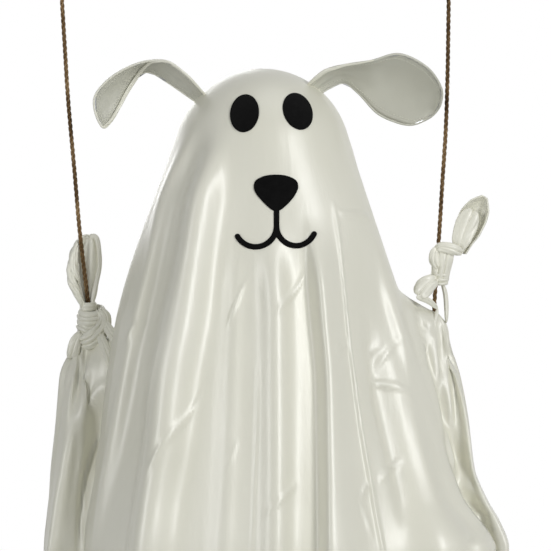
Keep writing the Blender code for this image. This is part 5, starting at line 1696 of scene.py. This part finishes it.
@dataclass(frozen=True)
class HangingRope:
    """One rope from its top loop down to the stop knot under the seat board."""

    side: Side
    route: tuple[Triple, ...]
    lay: RopeLay = RopeLay()
    loop_half: float = 0.008
    loop_rise: float = 0.011
    wire: float = 0.002
    bend: float = 0.0065

    def line(self, count: int = 60) -> list[Vector]:
        """The rope's middle line."""
        return smooth_route([place(*p) for p in self.route], count)

    def coil(self, centre: Vector, radius: float, turns: float, tall: float) -> list[Vector]:
        """A short coil of rope round an upright line, as a tied knot shows."""
        made = []
        for k in range(int(turns * 22) + 1):
            share = k / (turns * 22)
            angle = 2 * math.pi * turns * share
            made.append(centre + Vector((radius * math.cos(angle), radius * math.sin(angle),
                                         tall * (share - 0.5) + 0.0012 * math.sin(3 * angle))))
        return made

    def build(self, palette: Palette) -> dict[str, bpy.types.Object]:
        """Makes the rope, the loop and knot at its top, its stop knot and its hook."""
        name = self.side.value
        line = self.line()
        rope = self.lay.build(f"{name}_jute_rope", self.line(200), palette.jute)
        top = place(*self.route[0])
        short = RopeLay(diameter=0.0054, pitch=0.015)
        whip = short.build(f"{name}_top_whip",
                           self.coil(top + Vector((0.0, 0.0, 0.009)), 0.0046, 2.6, 0.0125),
                           palette.jute)
        base = top.z + PLACING_GAP + 0.018 - 0.003
        eye = []
        for k in range(41):
            turn = math.pi * (-0.34 + 1.68 * k / 40)
            eye.append(Vector((top.x + self.loop_half * math.cos(turn), 0.0,
                               base + self.loop_rise * (0.92 + math.sin(turn)))))
        loop = short.build(f"{name}_top_eye", eye, palette.jute)
        top_loop = join(f"{name}_rope_eye", [whip, loop])
        foot = line[-1]
        stop_centre = foot + Vector((0.0, 0.0, -PLACING_GAP - 0.008))
        crown = self.coil(stop_centre + Vector((0.0, 0.0, 0.0012)), 0.0054, 2.3, 0.0085)
        tail = smooth_route([stop_centre + Vector((0.001, 0.001, 0.0)),
                             stop_centre + Vector((0.0, 0.0, -0.006)),
                             stop_centre + Vector((0.001, 0.0, -0.0095))], 10)
        stop = join(f"{name}_rope_stop", [short.build(f"{name}_stop_coil", crown, palette.jute),
                                          short.build(f"{name}_stop_tail", tail, palette.jute)])
        hook = self.hook(f"{name}_steel_hook", top.x, base + self.loop_rise * 1.92 - 0.003, palette)
        return {"rope": rope, "top_loop": top_loop, "stop_knot": stop, "hook": hook}

    def hook(self, name: str, across: float, inner_top: float,
             palette: Palette) -> bpy.types.Object:
        """The S-shaped wire hook: its lower bend holds the loop."""
        wire, bend = self.wire, self.bend
        top_bend, low_bend = -wire - bend, inner_top - PLACING_GAP - wire + bend
        turns = [math.pi * (1.15 * k / 40 - 0.15) for k in range(41)]
        path = [(math.cos(t), top_bend + bend * math.sin(t)) for t in turns]
        path += [(-math.cos(t), low_bend - bend * math.sin(t)) for t in turns[::-1]]
        return tube(name, [Vector((across, bend * y, z)) for y, z in path], wire, palette.steel, 20)


ROPES = (
    HangingRope(Side.LEFT,
                ((-0.2675, 0.0, -0.125), (-0.2665, 0.0, -0.1), (-0.262, 0.0, -0.025),
                 (-0.2575, 0.0, 0.045), (-0.249, 0.0, 0.14), (-0.2425, 0.0, 0.215),
                 (-0.2325, 0.0, 0.3), (-0.2265, 0.0, 0.352), (-0.219, 0.0, 0.43),
                 (-0.211, 0.0, 0.54), (-0.2075, 0.0, 0.612), (-0.207, 0.0, 0.635))),
    HangingRope(Side.RIGHT,
                ((0.249, 0.0, -0.125), (0.2485, 0.0, -0.1), (0.247, 0.0, 0.0),
                 (0.2445, 0.0, 0.08), (0.24, 0.0, 0.15), (0.236, 0.0, 0.215),
                 (0.2325, 0.0, 0.262), (0.2295, 0.0, 0.31), (0.2265, 0.0, 0.37),
                 (0.2205, 0.0, 0.48), (0.216, 0.0, 0.6), (0.2155, 0.0, 0.635))),
)


# Camera, light and floor


@dataclass(frozen=True)
class Studio:
    """The photographer's camera, lamps and floor."""

    camera_place: Triple = (0.018, -4.0, -0.465)
    lens: float = 196.5
    floor_height: float = -1.16
    floor_half: float = 3.0

    def build(self) -> None:
        """Makes the camera, the lamps, the floor and the white background."""
        data = bpy.data.cameras.new("camera")
        data.lens = self.lens
        data.sensor_width = 36.0
        camera = bpy.data.objects.new("camera", data)
        camera.location = self.camera_place
        camera.rotation_euler = (math.pi / 2, 0.0, 0.0)
        bpy.context.scene.collection.objects.link(camera)
        bpy.context.scene.camera = camera
        self.lamp("key", (2.1, -2.3, 0.45), (0.0, 0.0, -0.5), (0.8, 1.5), 48.0)
        self.lamp("fill", (-2.3, -2.3, 0.1), (0.0, 0.0, -0.5), (0.6, 1.6), 27.0)
        self.lamp("top", (0.5, -0.4, 1.7), (0.0, 0.0, -0.3), (1.4, 1.4), 7.0)
        self.lamp("back", (-0.9, 2.7, 0.7), (0.0, 0.0, -0.5), (1.6, 1.6), 24.0)
        self.floor()
        self.world()
        bpy.context.scene.view_settings.view_transform = "Standard"

    def lamp(self, name: str, at: Triple, to: Triple, size: Pair, power: float) -> None:
        """Adds a soft lamp with an oblong face."""
        data = bpy.data.lights.new(name, "AREA")
        data.shape = "RECTANGLE"
        data.size, data.size_y = size
        data.energy = power
        made = bpy.data.objects.new(name, data)
        made.location = at
        made.rotation_euler = (Vector(to) - Vector(at)).to_track_quat("-Z", "Y").to_euler()
        bpy.context.scene.collection.objects.link(made)

    def floor(self) -> None:
        """Adds the pale floor."""
        nodes = NodeSheet("floor_paint")
        nodes.finish(Base_Color=srgb("f2f2f0"), Roughness=0.9)
        size = self.floor_half
        made = add_mesh("floor",
                        [(-size, -size, self.floor_height), (size, -size, self.floor_height),
                                  (size, size, self.floor_height),
                         (-size, size, self.floor_height)],
                        [(0, 1, 2, 3)], nodes.material, smooth=False)

    def world(self) -> None:
        """Sets a white background that lights the object softly."""
        world = bpy.data.worlds.new("studio")
        bpy.context.scene.world = world
        world.use_nodes = True
        tree = world.node_tree
        tree.nodes.clear()

        def add(kind: str, inputs: dict, **settings: object) -> bpy.types.Node:
            return add_node(tree, f"ShaderNode{kind}", inputs, settings)

        rays = add("LightPath", {}).outputs
        seen = rays["Is Camera Ray"]
        for name in ("Is Glossy Ray", "Is Transmission Ray"):
            seen = add("Math", {0: seen, 1: rays[name]}, operation="MAXIMUM").outputs[0]
        soft = add("Background", {"Color": srgb("e9ecef"), "Strength": 0.07})
        white = add("Background", {"Color": srgb("ffffff"), "Strength": 1.0})
        mix = add("MixShader", {0: seen, 1: soft.outputs[0], 2: white.outputs[0]})
        add("OutputWorld", {0: mix.outputs[0]})


def declare(made: bpy.types.Object, slot: str, *nodes: str) -> bpy.types.Object:
    """Puts a piece on the object's one body and hides the solids that it stands for."""
    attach(made, "root")
    if nodes:
        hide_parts(*nodes)
    return made


def dress_hidden_parts(palette: Palette) -> None:
    """Gives the solids that stay their finishes."""
    finishes = {"head_form": palette.foam, "post": palette.dowel, "seat_board": palette.pine,
                "post_screw": palette.steel, "post_washer": palette.steel,
                "left_ear_wire": palette.steel, "right_ear_wire": palette.steel}
    for node, material in finishes.items():
        for place_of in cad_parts[node].material_slots:
            place_of.material = material


def main() -> None:
    """Builds the looks."""
    logging.basicConfig(level=logging.INFO, format="%(name)s: %(message)s")
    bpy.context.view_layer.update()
    Studio().build()
    palette = Palette()
    for rope in ROPES:
        side = rope.side.value
        made = rope.build(palette)
        declare(made["rope"], "brown_jute", f"{side}_rope")
        declare(made["top_loop"], "brown_jute", f"{side}_top_loop")
        declare(made["stop_knot"], "brown_jute", f"{side}_stop_knot")
        declare(made["hook"], "zinc_steel", f"{side}_hook")
        line = rope.line()
    drape = DrapedSheet(palette)
    satin = declare(drape.build(), "white_satin", "ghost_sheet")
    tied = [declare(piece, "white_satin") for piece in drape.seams()]
    for hand in (LEFT_HAND, RIGHT_HAND):
        tied += [declare(piece, "white_satin") for piece in hand.build(palette)]
    for ear in EARS:
        side = ear.side.value
        made = ear.build(palette)
        declare(made["cover"], "white_satin", f"{side}_ear_cover")
        declare(made["lining"], "ear_lining", f"{side}_ear_lining")
        declare(made["binding"], "white_satin")
        declare(made["stitches"], "white_satin")
        declare(made["fold"], "white_satin")
    for node, piece in FeltFace(satin, palette).build().items():
        declare(piece, "black_felt", node)
    dress_hidden_parts(palette)


if __name__ == "__main__":
    main()
